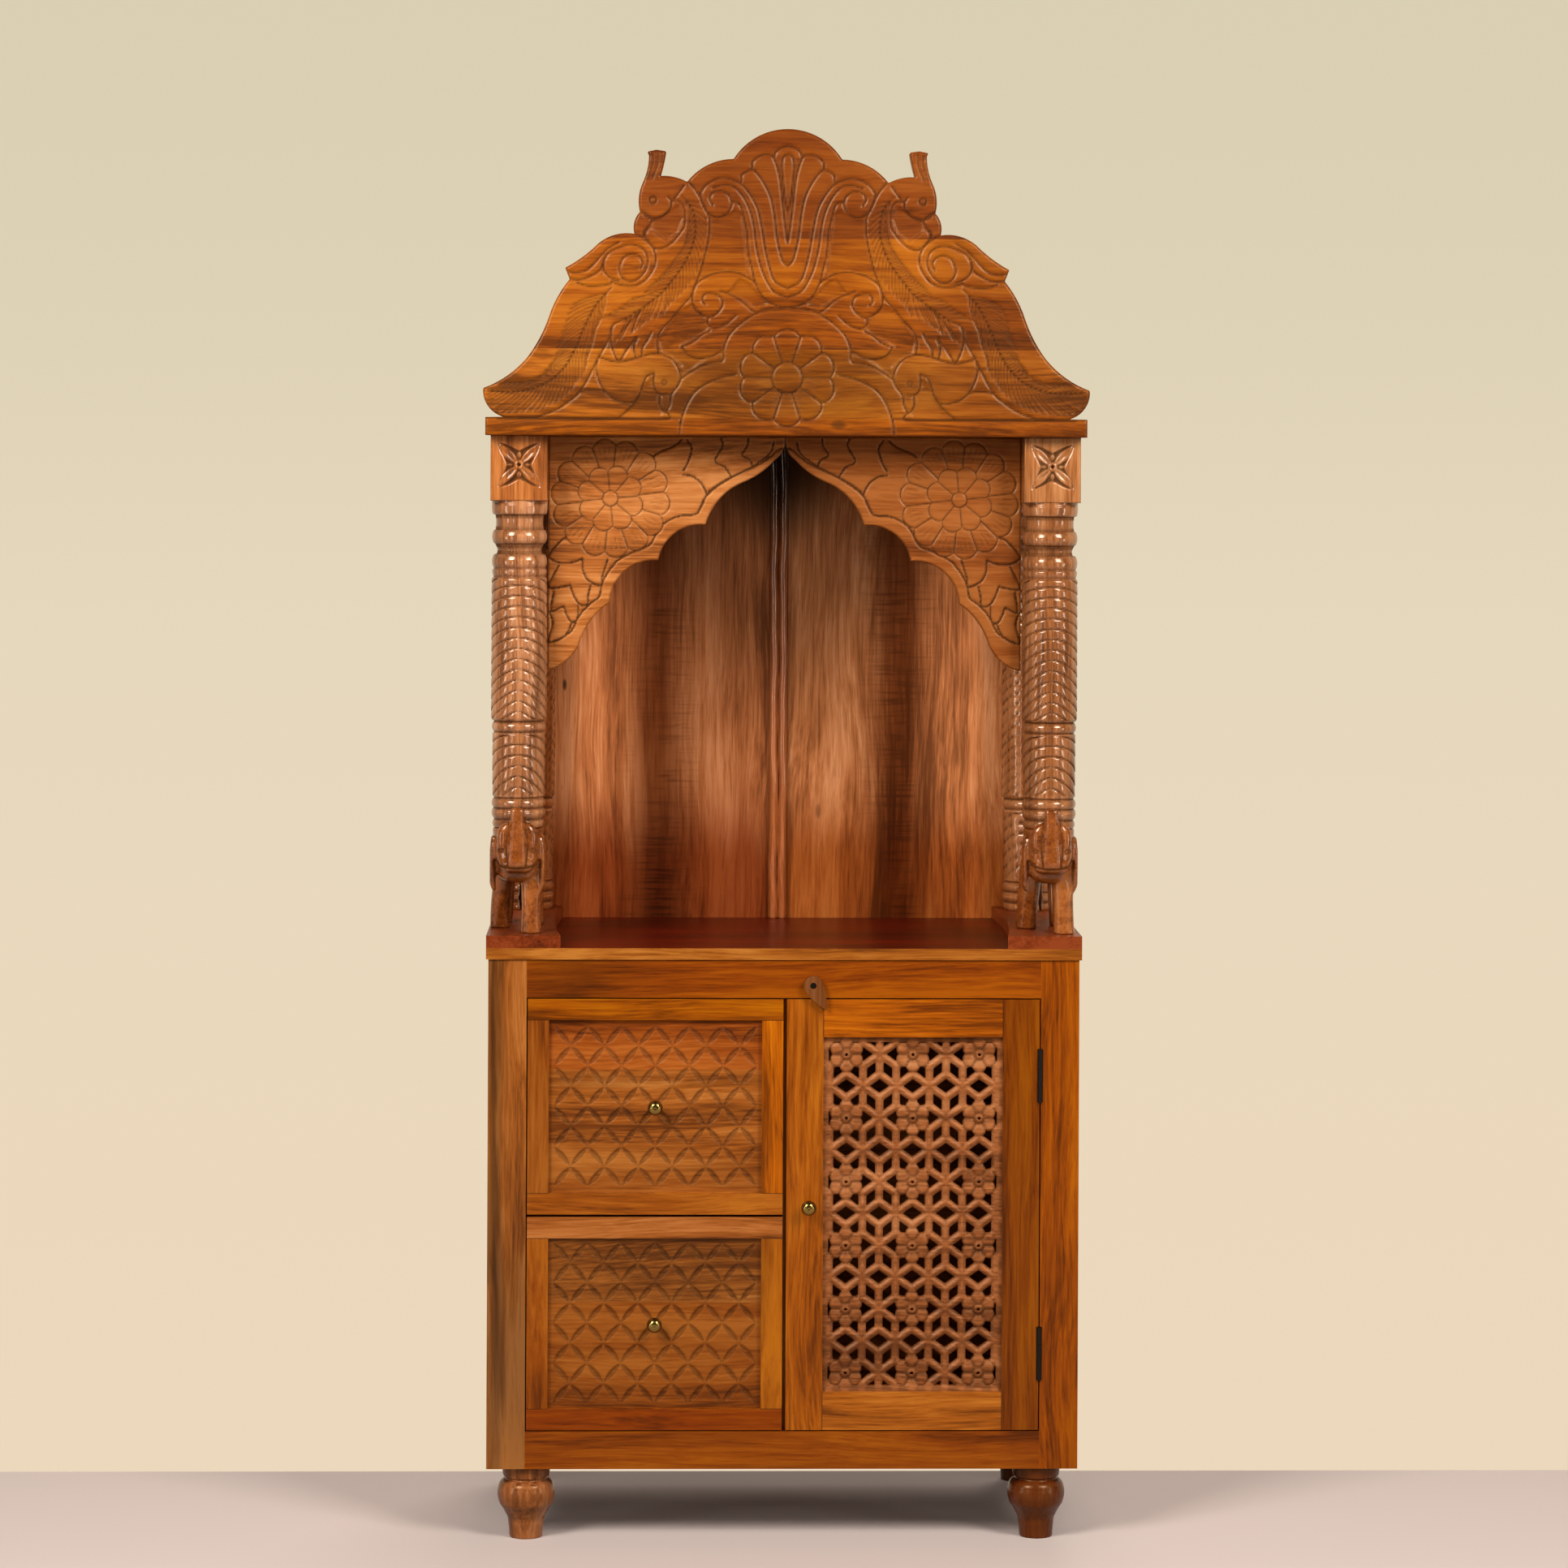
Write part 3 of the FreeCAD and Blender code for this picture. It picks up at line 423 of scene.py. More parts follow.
CREST_GROUND = [
    [(-117, 313), (-101, 280), (-101, 255), (-106, 231), (-118, 193), (-110, 200), (-78, 210), (-48, 201),
     (-52, 240), (-57, 283), (-66, 292), (-74, 286), (-91, 280), (-108, 290)],
    [(-137, 163), (-120, 172), (-105, 152), (-102, 144), (-97, 137), (-112, 126), (-135, 114), (-127, 104),
     (-100, 99), (-120, 84), (-137, 74), (-136, 88), (-150, 100), (-163, 106), (-166, 122), (-150, 147)],
    [(-170, 78), (-184, 66), (-190, 49), (-201, 35), (-214, 24), (-156, 24), (-163, 43), (-162, 53),
     (-170, 62)],
    [(-174, 275), (-150, 291), (-138, 299), (-131, 278), (-138, 259), (-155, 246), (-176, 262)],
    [(-48, 198), (-62, 204), (-80, 182), (-60, 174), (-40, 160), (-22, 168), (-40, 188)],
]


def vee_lines(rib, spacing, reach, lean, stop, keep_off, sides=(1, -1), start_at=0.0):
    """Barbs of a feather: strokes that leave the rib towards its tip and stop at the next line."""
    course = eased(rib, 8)
    runs = np.hypot(*np.diff(course, axis=0).T)
    along = np.concatenate([[0], np.cumsum(runs)])
    barbs = []
    for at in np.arange(start_at + spacing, along[-1] - 2, spacing):
        x, z = np.interp(at, along, course[:, 0]), np.interp(at, along, course[:, 1])
        ahead = min(at + 2, along[-1])
        next_x, next_z = np.interp(ahead, along, course[:, 0]), np.interp(ahead, along, course[:, 1])
        heading = math.atan2(next_z - z, next_x - x)
        for side in sides:
            turn = heading + side * lean
            barb = [(x, z)]
            px, pz = x, z
            for step in range(int(reach / 2)):
                turn -= side * 0.02
                px += 2 * math.cos(turn)
                pz += 2 * math.sin(turn)
                if step > 2 and stop(px, pz) < keep_off:
                    break
                barb.append((px, pz))
            if len(barb) > 3:
                barbs.append(np.array(barb))
    return barbs


def stop_map(grid, lines, reach=12.0):
    """Look-up of the distance to the nearest line or edge at a point."""
    field = np.minimum(line_distance(grid.x, grid.z, lines, reach), np.maximum(grid.edge, 0))
    first_x, first_z = grid.origin

    def look(x, z):
        column = int(round((x - first_x) / grid.step))
        row = int(round((z - first_z) / grid.step))
        if not (0 <= row < field.shape[0] and 0 <= column < field.shape[1]):
            return 0.0
        return field[row, column]
    return look


def board_grid(outline, step):
    grid = Grid(outline.min(0), outline.max(0), step)
    edge, near_x, near_z = edge_distance(grid.x, grid.z, outline, 14.0)
    grid.follow(edge, near_x, near_z)
    return grid


# Places on the crest: the middle flower, the eyes of the upper and lower birds and the line over the cornice
CREST_FLOWER = (0, 75)
BIRD_EYES = (((172.5, 301), 4.2, 2.4, 1.5), ((157, 68), 3.0, 2.2, 1.1))
CORNICE_LINE = 22.5
CREST_CUT = 2.4
CREST_SUNK = 3.2


def crest_feathers(grid, outlines):
    """Barbs on both sides of the tail and wing ribs, which stop at the next outline."""
    stop = stop_map(grid, outlines)
    barbs = []
    for line, spacing, reach, start in ((CREST_RIBS[4], 6.5, 44, 4), (CREST_RIBS[2], 7, 34, 0)):
        for rib in mirrored([line]):
            barbs += vee_lines(rib, spacing, reach, 0.72, stop, 3.5, start_at=start)
    return barbs


def crest_flower(grid):
    """The middle flower: its cut lines, the swell beside them and the dish around its button."""
    cuts, away, rim = flower(grid, CREST_FLOWER, 10, 62, 20, turn=math.pi / 2)
    lines = CREST_CUT * fall(cuts, 2.2) ** 1.2
    swell = 0.8 * fall(cuts, 11) ** 2
    lines, swell = (np.where(away < rim + 8, part, 0) for part in (lines, swell))
    return lines, swell, np.where(away < 19, 0, 2.2 * smooth(46, 19, away))


def crest_marks(grid):
    """Sunk ground between the forms, the birds' eyes and the line over the cornice."""
    ground, eyes = np.zeros(grid.x.shape), np.zeros(grid.x.shape)
    for polygon in mirrored(CREST_GROUND):
        inner, _, _ = edge_distance(grid.x, grid.z, np.array(polygon, float), 6.0)
        ground = np.maximum(ground, CREST_SUNK * smooth(0, 4, inner))
    for (eye_x, eye_z), radius, wide, deep in BIRD_EYES:
        ring = np.abs(np.hypot(np.abs(grid.x) - eye_x, grid.z - eye_z) - radius)
        eyes = np.maximum(eyes, deep * fall(ring, wide))
    band = 2.0 * fall(np.abs(grid.z - CORNICE_LINE), 2.2) * (np.abs(grid.x) > 137)
    return ground, eyes, band


def carved_crest():
    _, foot, _, _, front_y, back_y = front_box("crest")
    grid = board_grid(front_outline("crest") - np.array([0, foot]), CREST_STEP)
    outlines = [eased(line) for line in mirrored(CREST_LINES)]
    lines, banks = carved_lines(grid, outlines, 2.3, CREST_CUT, 8.5)
    ribs = grooves(grid, [eased(line) for line in mirrored(CREST_RIBS)], 2.6, 1.3, 1.2)
    barbs = grooves(grid, crest_feathers(grid, outlines), 1.9, 1.5, 1.1)
    petals, swell, dish = crest_flower(grid)
    ground, eyes, band = crest_marks(grid)
    cuts = deepest(lines, ribs, barbs, petals, dish, ground, eyes, band, rounded_edge(grid, 2.5))
    depth = cuts + banks + swell
    # Painted shade in the cut lines, petals, ribs, barbs, sunk ground, eyes and cornice line
    cavity = ((lines + petals) / CREST_CUT) ** 1.1 + 0.45 * barbs + 0.5 * ribs
    cavity = np.clip(cavity + 0.12 * ground / CREST_SUNK + 0.7 * eyes + 0.4 * band, 0, 1)
    grid.z = grid.z + foot
    return stand_in(board_mesh("crest_carved", grid, depth, front_y, back_y, cavity), "crest")


# Middle of an arch half's flower, from the joint of the halves and from the top
ARCH_FLOWER = (226, -81)
ARCH_PETALS = 14
ARCH_TURN = 0.1


def arch_flower(grid, centre):
    """Double flower with short strokes on its outer petals: cuts, swell, distance and outer rim."""
    outer, away, rim = flower(grid, centre, ARCH_PETALS, 77, 30, turn=ARCH_TURN, pinch=0.12)
    inner, _, inner_rim = flower(grid, centre, 8, 43, 10, turn=0.3, pinch=0.20)
    lines = np.where(away < inner_rim, inner, np.minimum(outer, away - inner_rim))
    cuts = np.where(away < rim + 6, 1.8 * fall(lines, 1.8) ** 1.2, 0)
    strokes = []
    for petal in range(ARCH_PETALS):
        for lean, near, far in ((-0.10, 57, 68), (0.0, 51, 68), (0.10, 57, 68)):
            turn = math.tau * petal / ARCH_PETALS - ARCH_TURN + lean
            strokes.append([(centre[0] + reach * math.cos(turn), centre[1] + reach * math.sin(turn))
                            for reach in (near, far)])
    cuts = np.maximum(cuts, grooves(grid, strokes, 1.2, 0.9, 1.1) * (away > inner_rim + 4))
    return cuts, np.where(away < rim + 6, 0.6 * fall(lines, 8) ** 2, 0), away, rim


def carved_arch(side, sign):
    node = f"arch_{side}"
    _, _, _, top, front_y, back_y = front_box(node)
    grid = board_grid(front_outline(node), ARCH_STEP)
    leaves = [eased([(-sign * x, z + top) for x, z in line]) for line in ARCH_LINES]
    leaf_cuts, banks = carved_lines(grid, leaves, 1.7, 1.7, 7)
    cuts, swell, away, rim = arch_flower(grid, (sign * ARCH_FLOWER[0], top + ARCH_FLOWER[1]))
    leaf_cuts, banks = (np.where(away < rim - 1, 0, part) for part in (leaf_cuts, banks))
    dish = np.where(away < rim, 1.6 * smooth(60, 20, away) * (away > 10), 0)
    depth = deepest(leaf_cuts, cuts, dish, rounded_edge(grid, 2.2)) + banks + swell
    # Painted shade in the leaf and flower cuts
    cavity = np.clip(((leaf_cuts + cuts) / 1.7) ** 1.3, 0, 1)
    return stand_in(board_mesh(f"arch_{side}_carved", grid, depth, front_y, back_y, cavity), node)


# Drawer panels
def rectangle(low_x, low_z, high_x, high_z):
    return np.array([(low_x, low_z), (high_x, low_z), (high_x, high_z), (low_x, high_z)], float)


# Columns and rows of cells with a lens cut each, and the cells' and the cuts' sizes
PANEL_CELLS = (12, 8)
CELL_WIDE, CELL_HIGH = 21.6, 25.7
LENS_HALF = 16.2
LENS_WIDE = 3.9


def carved_panel(level):
    """Panel with rows of lens cuts that lean one way and then the other."""
    node = f"drawer_{level}_panel"
    low_x, low_z, high_x, high_z, front_y, back_y = front_box(node)
    grid = board_grid(rectangle(low_x, low_z, high_x, high_z), PANEL_STEP)
    columns, rows = PANEL_CELLS
    across = grid.x - (low_x + high_x) / 2 + columns * CELL_WIDE / 2
    up = (low_z + high_z) / 2 + rows * CELL_HIGH / 2 - grid.z
    column, row = np.floor(across / CELL_WIDE), np.floor(up / CELL_HIGH)
    local_x, local_z = across - (column + 0.5) * CELL_WIDE, -(up - (row + 0.5) * CELL_HIGH)
    lean = np.where((column + row) % 2 == 0, 1, -1)
    angle = math.atan2(CELL_HIGH, CELL_WIDE)
    run = local_x * math.cos(angle) - lean * local_z * math.sin(angle)
    side = lean * local_x * math.sin(angle) + local_z * math.cos(angle)
    inside = LENS_WIDE * (1 - np.clip(run / LENS_HALF, -1, 1) ** 2) - np.abs(side)
    cut = 0.9 * smooth(0, 0.9, inside) + 0.35 * np.clip(inside, 0, 9)
    # Lens cuts darker inside as matte end grain, with a line of painted shade just inside their edge
    dark = 0.62 * smooth(-0.1, 0.9, inside) + 0.38 * smooth(1.0, 0.0, np.abs(inside - 0.3))
    field = (column >= 0) & (column < columns) & (row >= 0) & (row < rows)
    depth, shade = np.where(field, cut, 0), np.clip(np.where(field, dark, 0), 0, 1)
    piece = board_mesh(f"{node}_carved", grid, depth, front_y, back_y, shade)
    return stand_in(piece, node, f"drawer_{level}")


# Door lattice: edge in the groove, plain border, width of a bar, pitch across and up, rise of a slanting bar
TONGUE = 6
BORDER = 7
BAR = 10.2
PITCH = 42.6
ROW_HIGH = 40.75
BAR_RISE = 15.2
ROSETTE = {"petals": 6, "radius": 23.0, "core": 6.7, "turn": math.pi / 6, "pinch": 0.24}


def lattice_crossings(low_x, low_z, high_x, high_z):
    """Middle of each crossing, and whether a flower stands on it."""
    middle_x, middle_z = (low_x + high_x) / 2, (low_z + high_z) / 2
    rows = int((high_z - low_z - 2 * TONGUE) / ROW_HIGH) + 1
    for level in range(-1, rows + 2):
        at_z = middle_z + (level - rows / 2) * ROW_HIGH
        odd = (level - rows // 2 + 1) % 2
        for column in range(-5, 6):
            at_x = middle_x + (column + odd / 2) * PITCH
            inside = low_z + TONGUE < at_z < high_z - TONGUE and low_x + TONGUE < at_x < high_x - TONGUE
            yield (at_x, at_z), not odd and column % 2 == 0 and inside


def spokes(at_x, at_z):
    """Middle lines of the six half bars that leave a crossing."""
    upright = [[(at_x, at_z), (at_x, at_z + way * (ROW_HIGH - BAR_RISE))] for way in (-1, 1)]
    slanting = [[(at_x, at_z), (at_x + way * PITCH / 2, at_z + up)]
                for way in (-1, 1) for up in (-BAR_RISE, BAR_RISE)]
    return upright + slanting


def follow_holes(grid, solid, low_x, low_z, high_x, high_z):
    """Let the grid's points follow the rims of the holes and the sheet's edge."""
    x, z = grid.x, grid.z
    slope_z, slope_x = np.gradient(solid, grid.step)
    size = np.hypot(slope_x, slope_z) + 1e-9
    near_x = x - solid * slope_x / size / np.maximum(size, 0.6)
    near_z = z - solid * slope_z / size / np.maximum(size, 0.6)
    outer = np.minimum(np.minimum(x - low_x, high_x - x), np.minimum(z - low_z, high_z - z))
    at_edge = np.abs(outer) < 0.75 * grid.step
    near_x = np.where(at_edge, np.clip(x, low_x, high_x), near_x)
    near_z = np.where(at_edge, np.clip(z, low_z, high_z), near_z)
    grid.follow(np.minimum(solid, outer), near_x, near_z)


def carved_lattice():
    """Ridged bars between three-way joints, and flowers with pierced centres on the crossings."""
    *box, front_y, back_y = front_box("door_lattice")
    low_x, low_z, high_x, high_z = box
    grid = Grid((low_x, low_z), (high_x, high_z), LATTICE_STEP)
    x, z = grid.x, grid.z
    crossings = list(lattice_crossings(*box))
    nearest = np.full(x.shape, 99.0)
    for centre, _ in crossings:
        nearest = np.minimum(nearest, line_distance(x, z, spokes(*centre), 14.0))
    rim = np.minimum(np.minimum(x - low_x, high_x - x), np.minimum(z - low_z, high_z - z)) - TONGUE
    solid = np.maximum(BAR / 2 - nearest, BORDER - rim)
    in_flower, petal_depth, petal_shade = np.zeros(x.shape, bool), np.zeros(x.shape), np.zeros(x.shape)
    for centre in [centre for centre, has_flower in crossings if has_flower]:
        lines, away, petal_rim = flower(grid, centre, **ROSETTE)
        solid = np.minimum(np.maximum(solid, np.minimum(petal_rim - away, 14)), away - 2.0)
        here = (away < petal_rim) & (rim > BORDER - 4)
        in_flower |= here
        groove = 2.6 * fall(lines, 4.5) ** 2
        hollow = groove + 1.4 * smooth(22, 7, away) * (away > ROSETTE["core"])
        petal_depth = np.where(here, hollow, petal_depth)
        petal_shade = np.where(here, groove / 2.6, petal_shade)
    follow_holes(grid, solid, *box)
    slope = np.clip(nearest / (BAR / 2), 0, 1)
    frame_depth = np.where(rim < BORDER, 1.6 * smooth(2, BORDER, rim), 99)
    depth = np.where(in_flower, 0.8 + petal_depth, np.minimum(1.2 + 3.6 * slope, frame_depth))
    shade = np.clip(np.where(in_flower, petal_shade * 0.8, slope ** 3 * 0.5), 0, 1)
    piece = board_mesh("door_lattice_carved", grid, depth, front_y, back_y, shade, plain_back=False)
    return stand_in(piece, "door_lattice", "door")


# Batten over the joint of the back boards
def reeded_batten():
    """Two hand-planed beads with a hollow between them, a little uneven along their length."""
    low_x, low_z, high_x, high_z, front_y, back_y = front_box("shrine_batten")
    grid = board_grid(rectangle(low_x, low_z, high_x, high_z), BATTEN_STEP)
    waver = 0.7 * np.sin(grid.z / 31) + 0.4 * np.sin(grid.z / 13 + 1)
    across = (grid.x - (low_x + high_x) / 2 + waver) / 6.3
    bead = np.sqrt(np.maximum(1 - (np.abs(np.abs(across) - 1)) ** 2, 0))
    depth = np.clip(12.5 - 11.5 * bead, 0.6, 12.6)
    shade = np.clip((depth - 5) / 7, 0, 1)
    return stand_in(board_mesh("shrine_batten_reeded", grid, depth, front_y, back_y, shade), "shrine_batten")


# Pillars: pitch of the ribs on the drums, and the block over the shaft with its flower
RIB_PITCH = 13.4
BLOCK_HALF = 36.5
BLOCK_HIGH = 84
BLOCK_FLOWER_RISE = 46
BLOCK_SUNK = 3.4


def pillar_profile(node, block_z):
    """Radius of the turned shaft at each of its rings, read from the frame."""
    points = np.array([v.co for v in nodes[node].data.vertices]) / MM
    centre_x = (points[:, 0].min() + points[:, 0].max()) / 2
    centre_y = (points[:, 1].min() + points[:, 1].max()) / 2
    radius = np.hypot(points[:, 0] - centre_x, points[:, 1] - centre_y)
    shaft = (points[:, 2] < block_z - 0.05) & (radius < 38)
    level = np.round(points[shaft, 2], 1)
    radius = radius[shaft]
    heights = np.unique(level)
    rings = np.array([radius[level == height].max() for height in heights])
    real = rings > 20
    heights, rings = heights[real], rings[real]
    return centre_x, centre_y, np.append(heights, block_z), np.append(rings, rings[-1])


def leaf_drum(angle, z, low, high):
    """Flat ribs with thin cuts between them: round hoops at the top, leaf veins off a midrib below."""
    turn = np.abs((angle + math.pi / 2) % math.pi - math.pi / 2) / (math.pi / 2)
    lower = smooth(high, low, z)
    drop = (14 + 18 * lower) * turn ** (1.9 - 0.75 * lower)
    phase = ((z - low + drop) / RIB_PITCH) % 1.0
    off = np.abs(2 * phase - 1)
    cut = 2.4 * smooth(0.76, 0.97, off) + 0.3 * off * off
    fade = smooth(low, low + 3, z) * smooth(high, high - 3, z)
    vein = smooth(0.25, 0.45, lower)
    midrib = vein * fall(np.abs(turn - 0.05), 0.035)
    flat = 1 - vein * (1 - smooth(0.0, 0.05, turn))
    seam = smooth(0.93, 1.0, turn)
    return fade * np.maximum(cut * flat, 1.9 * midrib + 1.8 * seam)


def drums(heights, rings):
    """Spans of the two long drums: the shaft stays nearly even in radius over each."""
    spans = []
    start = None
    for height, radius in zip(heights, rings):
        if radius > 33.3:
            start = height if start is None else start
            last = height
        elif start is not None:
            if last - start > 45:
                spans.append((start, last))
            start = None
    return spans


BLOCK_PETAL = [(1, 5), (4, 11), (9, 18), (17, 24), (26.5, 28.5), (24, 17), (18, 9), (11, 4), (5, 1)]
BLOCK_STAR = [(0, 19), (8, 23), (16, 27), (27, 29), (25, 18), (20, 9), (16, 0)]
BLOCK_LEAF_UP = [(0, 7), (3.4, 11), (2.6, 15), (0, 18), (-2.6, 15), (-3.4, 11)]
BLOCK_LEAF_SIDE = [(6.5, 0), (10, 2.6), (13, 2), (15.5, 0), (13, -2), (10, -2.6)]


def block_flower(grid, centre):
    """Four leaf petals on the diagonals of a sunk star, with a small leaf between each two."""
    x, z = np.abs(grid.x - centre[0]), np.abs(grid.z - centre[1])
    away = np.hypot(x, z)
    star = np.vstack([[(0, 0)], eased(BLOCK_STAR), [(0, 0)]])
    in_star, _, _ = edge_distance(x, z, star, 12.0)
    rim = line_distance(x, z, [eased(BLOCK_STAR)], 12.0)
    in_star = np.where(in_star > 0, rim, 0)
    petal, _, _ = edge_distance(x, z, eased(BLOCK_PETAL), 12.0)
    leaf_up, _, _ = edge_distance(x, z, eased(BLOCK_LEAF_UP + BLOCK_LEAF_UP[:1]), 8.0)
    leaf_side, _, _ = edge_distance(x, z, eased(BLOCK_LEAF_SIDE + BLOCK_LEAF_SIDE[:1]), 8.0)
    leaf = np.maximum(leaf_up, leaf_side)
    midline = np.abs(x - z) / math.sqrt(2)
    depth = BLOCK_SUNK * smooth(0, 2.2, in_star)
    on_petal = 0.5 + 1.9 * fall(midline, 3.2) * smooth(32, 14, away)
    petal_depth = BLOCK_SUNK - (BLOCK_SUNK - on_petal) * smooth(0, 1.6, petal)
    depth = np.where(petal > 0, np.minimum(depth, petal_depth), depth)
    depth = np.where(leaf > 0, np.minimum(depth, BLOCK_SUNK - 1.9 * smooth(0, 1.6, leaf)), depth)
    depth = np.where(away < 6.4, 1.0 + 1.4 * smooth(4.6, 6.4, away), depth)
    return np.where(away < 2.3, 5.0, depth)


def shaft_mesh(name, place, profile):
    """Turned shaft with carved drums on the rings of the plain one."""
    centre_x, centre_y, heights, rings = profile
    step, turns = SHAFT_STEPS[place]
    levels = np.unique(np.concatenate([heights, np.arange(heights[0], heights[-1], step)]))
    angle, z = np.meshgrid(np.linspace(0, math.tau, turns, endpoint=False), levels)
    from_front = (angle + math.pi / 2 + math.pi) % math.tau - math.pi
    depth = np.zeros(z.shape)
    for low, high in drums(heights, rings):
        depth = np.where((z > low) & (z < high), leaf_drum(from_front, z, low, high), depth)
    radius = np.interp(z, heights, rings) - depth
    points = np.stack([centre_x + radius * np.cos(angle), centre_y + radius * np.sin(angle), z], -1)
    points = points.reshape(-1, 3)
    corner = np.arange(len(points)).reshape(z.shape)
    after = np.roll(corner, -1, axis=1)
    quads = np.stack([corner[:-1], after[:-1], after[1:], corner[1:]], -1).reshape(-1, 4)
    mesh = bpy.data.meshes.new(name)
    mesh.from_pydata((points * MM).tolist(), [], quads.tolist() + [list(reversed(range(turns)))])
    # The drums' cuts, and the necks narrower than the rings beside them, are painted darker as shade
    nearby = np.maximum(np.interp(z - 5, heights, rings), np.interp(z + 5, heights, rings))
    necks = np.clip((nearby - radius - depth) / 4, 0, 1)
    mark_cuts(mesh, np.clip(np.clip(depth / 2.6, 0, 1) ** 2 + 0.6 * necks, 0, 1).ravel())
    shade_smooth(mesh, len(quads))
    return placed(name, mesh)


def pillar_block(name, place, centre_x, centre_y, low_z, high_z):
    """Square block over the shaft, with a carved flower on the front pillars."""
    outline = rectangle(centre_x - BLOCK_HALF, low_z, centre_x + BLOCK_HALF, high_z)
    grid = board_grid(outline, BLOCK_STEPS[place])
    petals = np.zeros(grid.x.shape)
    if place == "front":
        petals = block_flower(grid, (centre_x, low_z + BLOCK_FLOWER_RISE))
    depth = deepest(petals, rounded_edge(grid, 1.5))
    shade = np.clip(petals / BLOCK_SUNK, 0, 1) ** 1.5
    return board_mesh(name, grid, depth, centre_y - BLOCK_HALF, centre_y + BLOCK_HALF, shade)


def select(*pieces):
    """Select these pieces only, with the first one active."""
    bpy.ops.object.select_all(action="DESELECT")
    for piece in pieces:
        piece.select_set(True)
    bpy.context.view_layer.objects.active = pieces[0]


def carved_pillar(place, side):
    node = f"pillar_{place}_{side}"
    top = front_box(node)[3]
    profile = pillar_profile(node, top - BLOCK_HIGH)
    shaft = shaft_mesh(node + "_carved", place, profile)
    select(shaft, pillar_block(node + "_head", place, profile[0], profile[1], top - BLOCK_HIGH, top))
    bpy.ops.object.join()
    return stand_in(shaft, node)


# Elephants
def closed_rings(rings):
    """Closed surface through rings of points, with a flat end at the first and the last."""
    count = len(rings[0])
    points = np.vstack(rings)
    faces = [tuple(reversed(range(count))), tuple(range(len(points) - count, len(points)))]
    for level in range(len(rings) - 1):
        for at in range(count):
            after = (at + 1) % count
            low, high = level * count, (level + 1) * count
            faces.append((low + at, low + after, high + after, high + at))
    return points, faces


def lump(centre, radii, square=2.6, sides=28, levels=15):
    """Rounded block: an ellipsoid whose sides grow flatter as the power rises."""
    turn = np.linspace(0, math.tau, sides, endpoint=False)
    rings = []
    for tilt in np.linspace(-math.pi / 2 + 0.03, math.pi / 2 - 0.03, levels):
        wide = abs(math.cos(tilt)) ** (2 / square)
        high = math.copysign(abs(math.sin(tilt)) ** (2 / square), tilt)
        x = np.sign(np.cos(turn)) * np.abs(np.cos(turn)) ** (2 / square) * wide
        y = np.sign(np.sin(turn)) * np.abs(np.sin(turn)) ** (2 / square) * wide
        ring = np.stack([x * radii[0], y * radii[1], np.full(sides, high * radii[2])], -1)
        rings.append(ring + np.array(centre))
    return closed_rings(rings)


def limb(course, square=2.8, sides=20):
    """Level slices along a leg or trunk: each is x, y, z and its half widths in x and y."""
    turn = np.linspace(0, math.tau, sides, endpoint=False)
    across = np.sign(np.cos(turn)) * np.abs(np.cos(turn)) ** (2 / square)
    deep = np.sign(np.sin(turn)) * np.abs(np.sin(turn)) ** (2 / square)
    rings = []
    for x, y, z, half_x, half_y in course:
        rings.append(np.stack([x + across * half_x, y + deep * half_y, np.full(sides, z)], -1))
    return closed_rings(rings)


def ear(side, back_z):
    """Flat ear that hangs from the temple along the neck, broad above and round below."""
    outer = side * 34.5
    return limb([(side * 30, 42, back_z - 81, 2.5, 7), (side * 32, 43, back_z - 72, 4, 12),
                 (outer - side * 2, 44, back_z - 50, 3.6, 17), (outer - side * 2, 44, back_z - 26, 3.4, 17.5),
                 (side * 31, 42, back_z - 12, 3.4, 13), (side * 29, 40, back_z - 9, 3, 9)])


# Height of the saddle over the plinth, and the courses of the legs from there down and of the trunk
ELEPHANT_BACK = 134.5
ELEPHANT_LEGS = [
    [(18, 36, 0, 14, 13), (18, 37, 10, 13.2, 12), (18, 42, 34, 12.6, 12.5), (17.5, 48, 58, 13.4, 14.5),
     (16, 52, 84, 13, 17)],
    [(-25, 103, 0, 13.4, 13), (-24.5, 101, 12, 13, 12.5), (-23, 95, 36, 13, 13.5), (-20.5, 90, 60, 13, 14.5),
     (-18, 86, 84, 13, 16)],
    [(20, 142, 0, 12, 12.5), (19, 143, 12, 11.5, 12), (18, 147, 40, 12, 13.5), (17, 150, 66, 12, 16),
     (16, 150, 84, 12, 17)],
    [(-23, 168, 0, 12, 12.5), (-21, 166, 12, 11.5, 12), (-20, 162, 40, 12, 13.5), (-18, 160, 66, 12, 16),
     (-17, 158, 84, 12, 17)],
]
ELEPHANT_TRUNK = [
    (0, 12, -53, 10, 4), (0, 10.5, -50, 13, 7.5), (0, 10, -42, 13.5, 8.8), (0, 10.5, -30, 12.5, 9.2),
    (0, 11, -16, 11, 8.6), (0, 12, 0, 9.6, 7.4), (0, 13, 12, 8.6, 6.4), (0, 13.5, 20, 8.6, 6),
    (0, 13.5, 24.5, 9.6, 5.8), (0, 13.5, 26.8, 8, 4.6)]


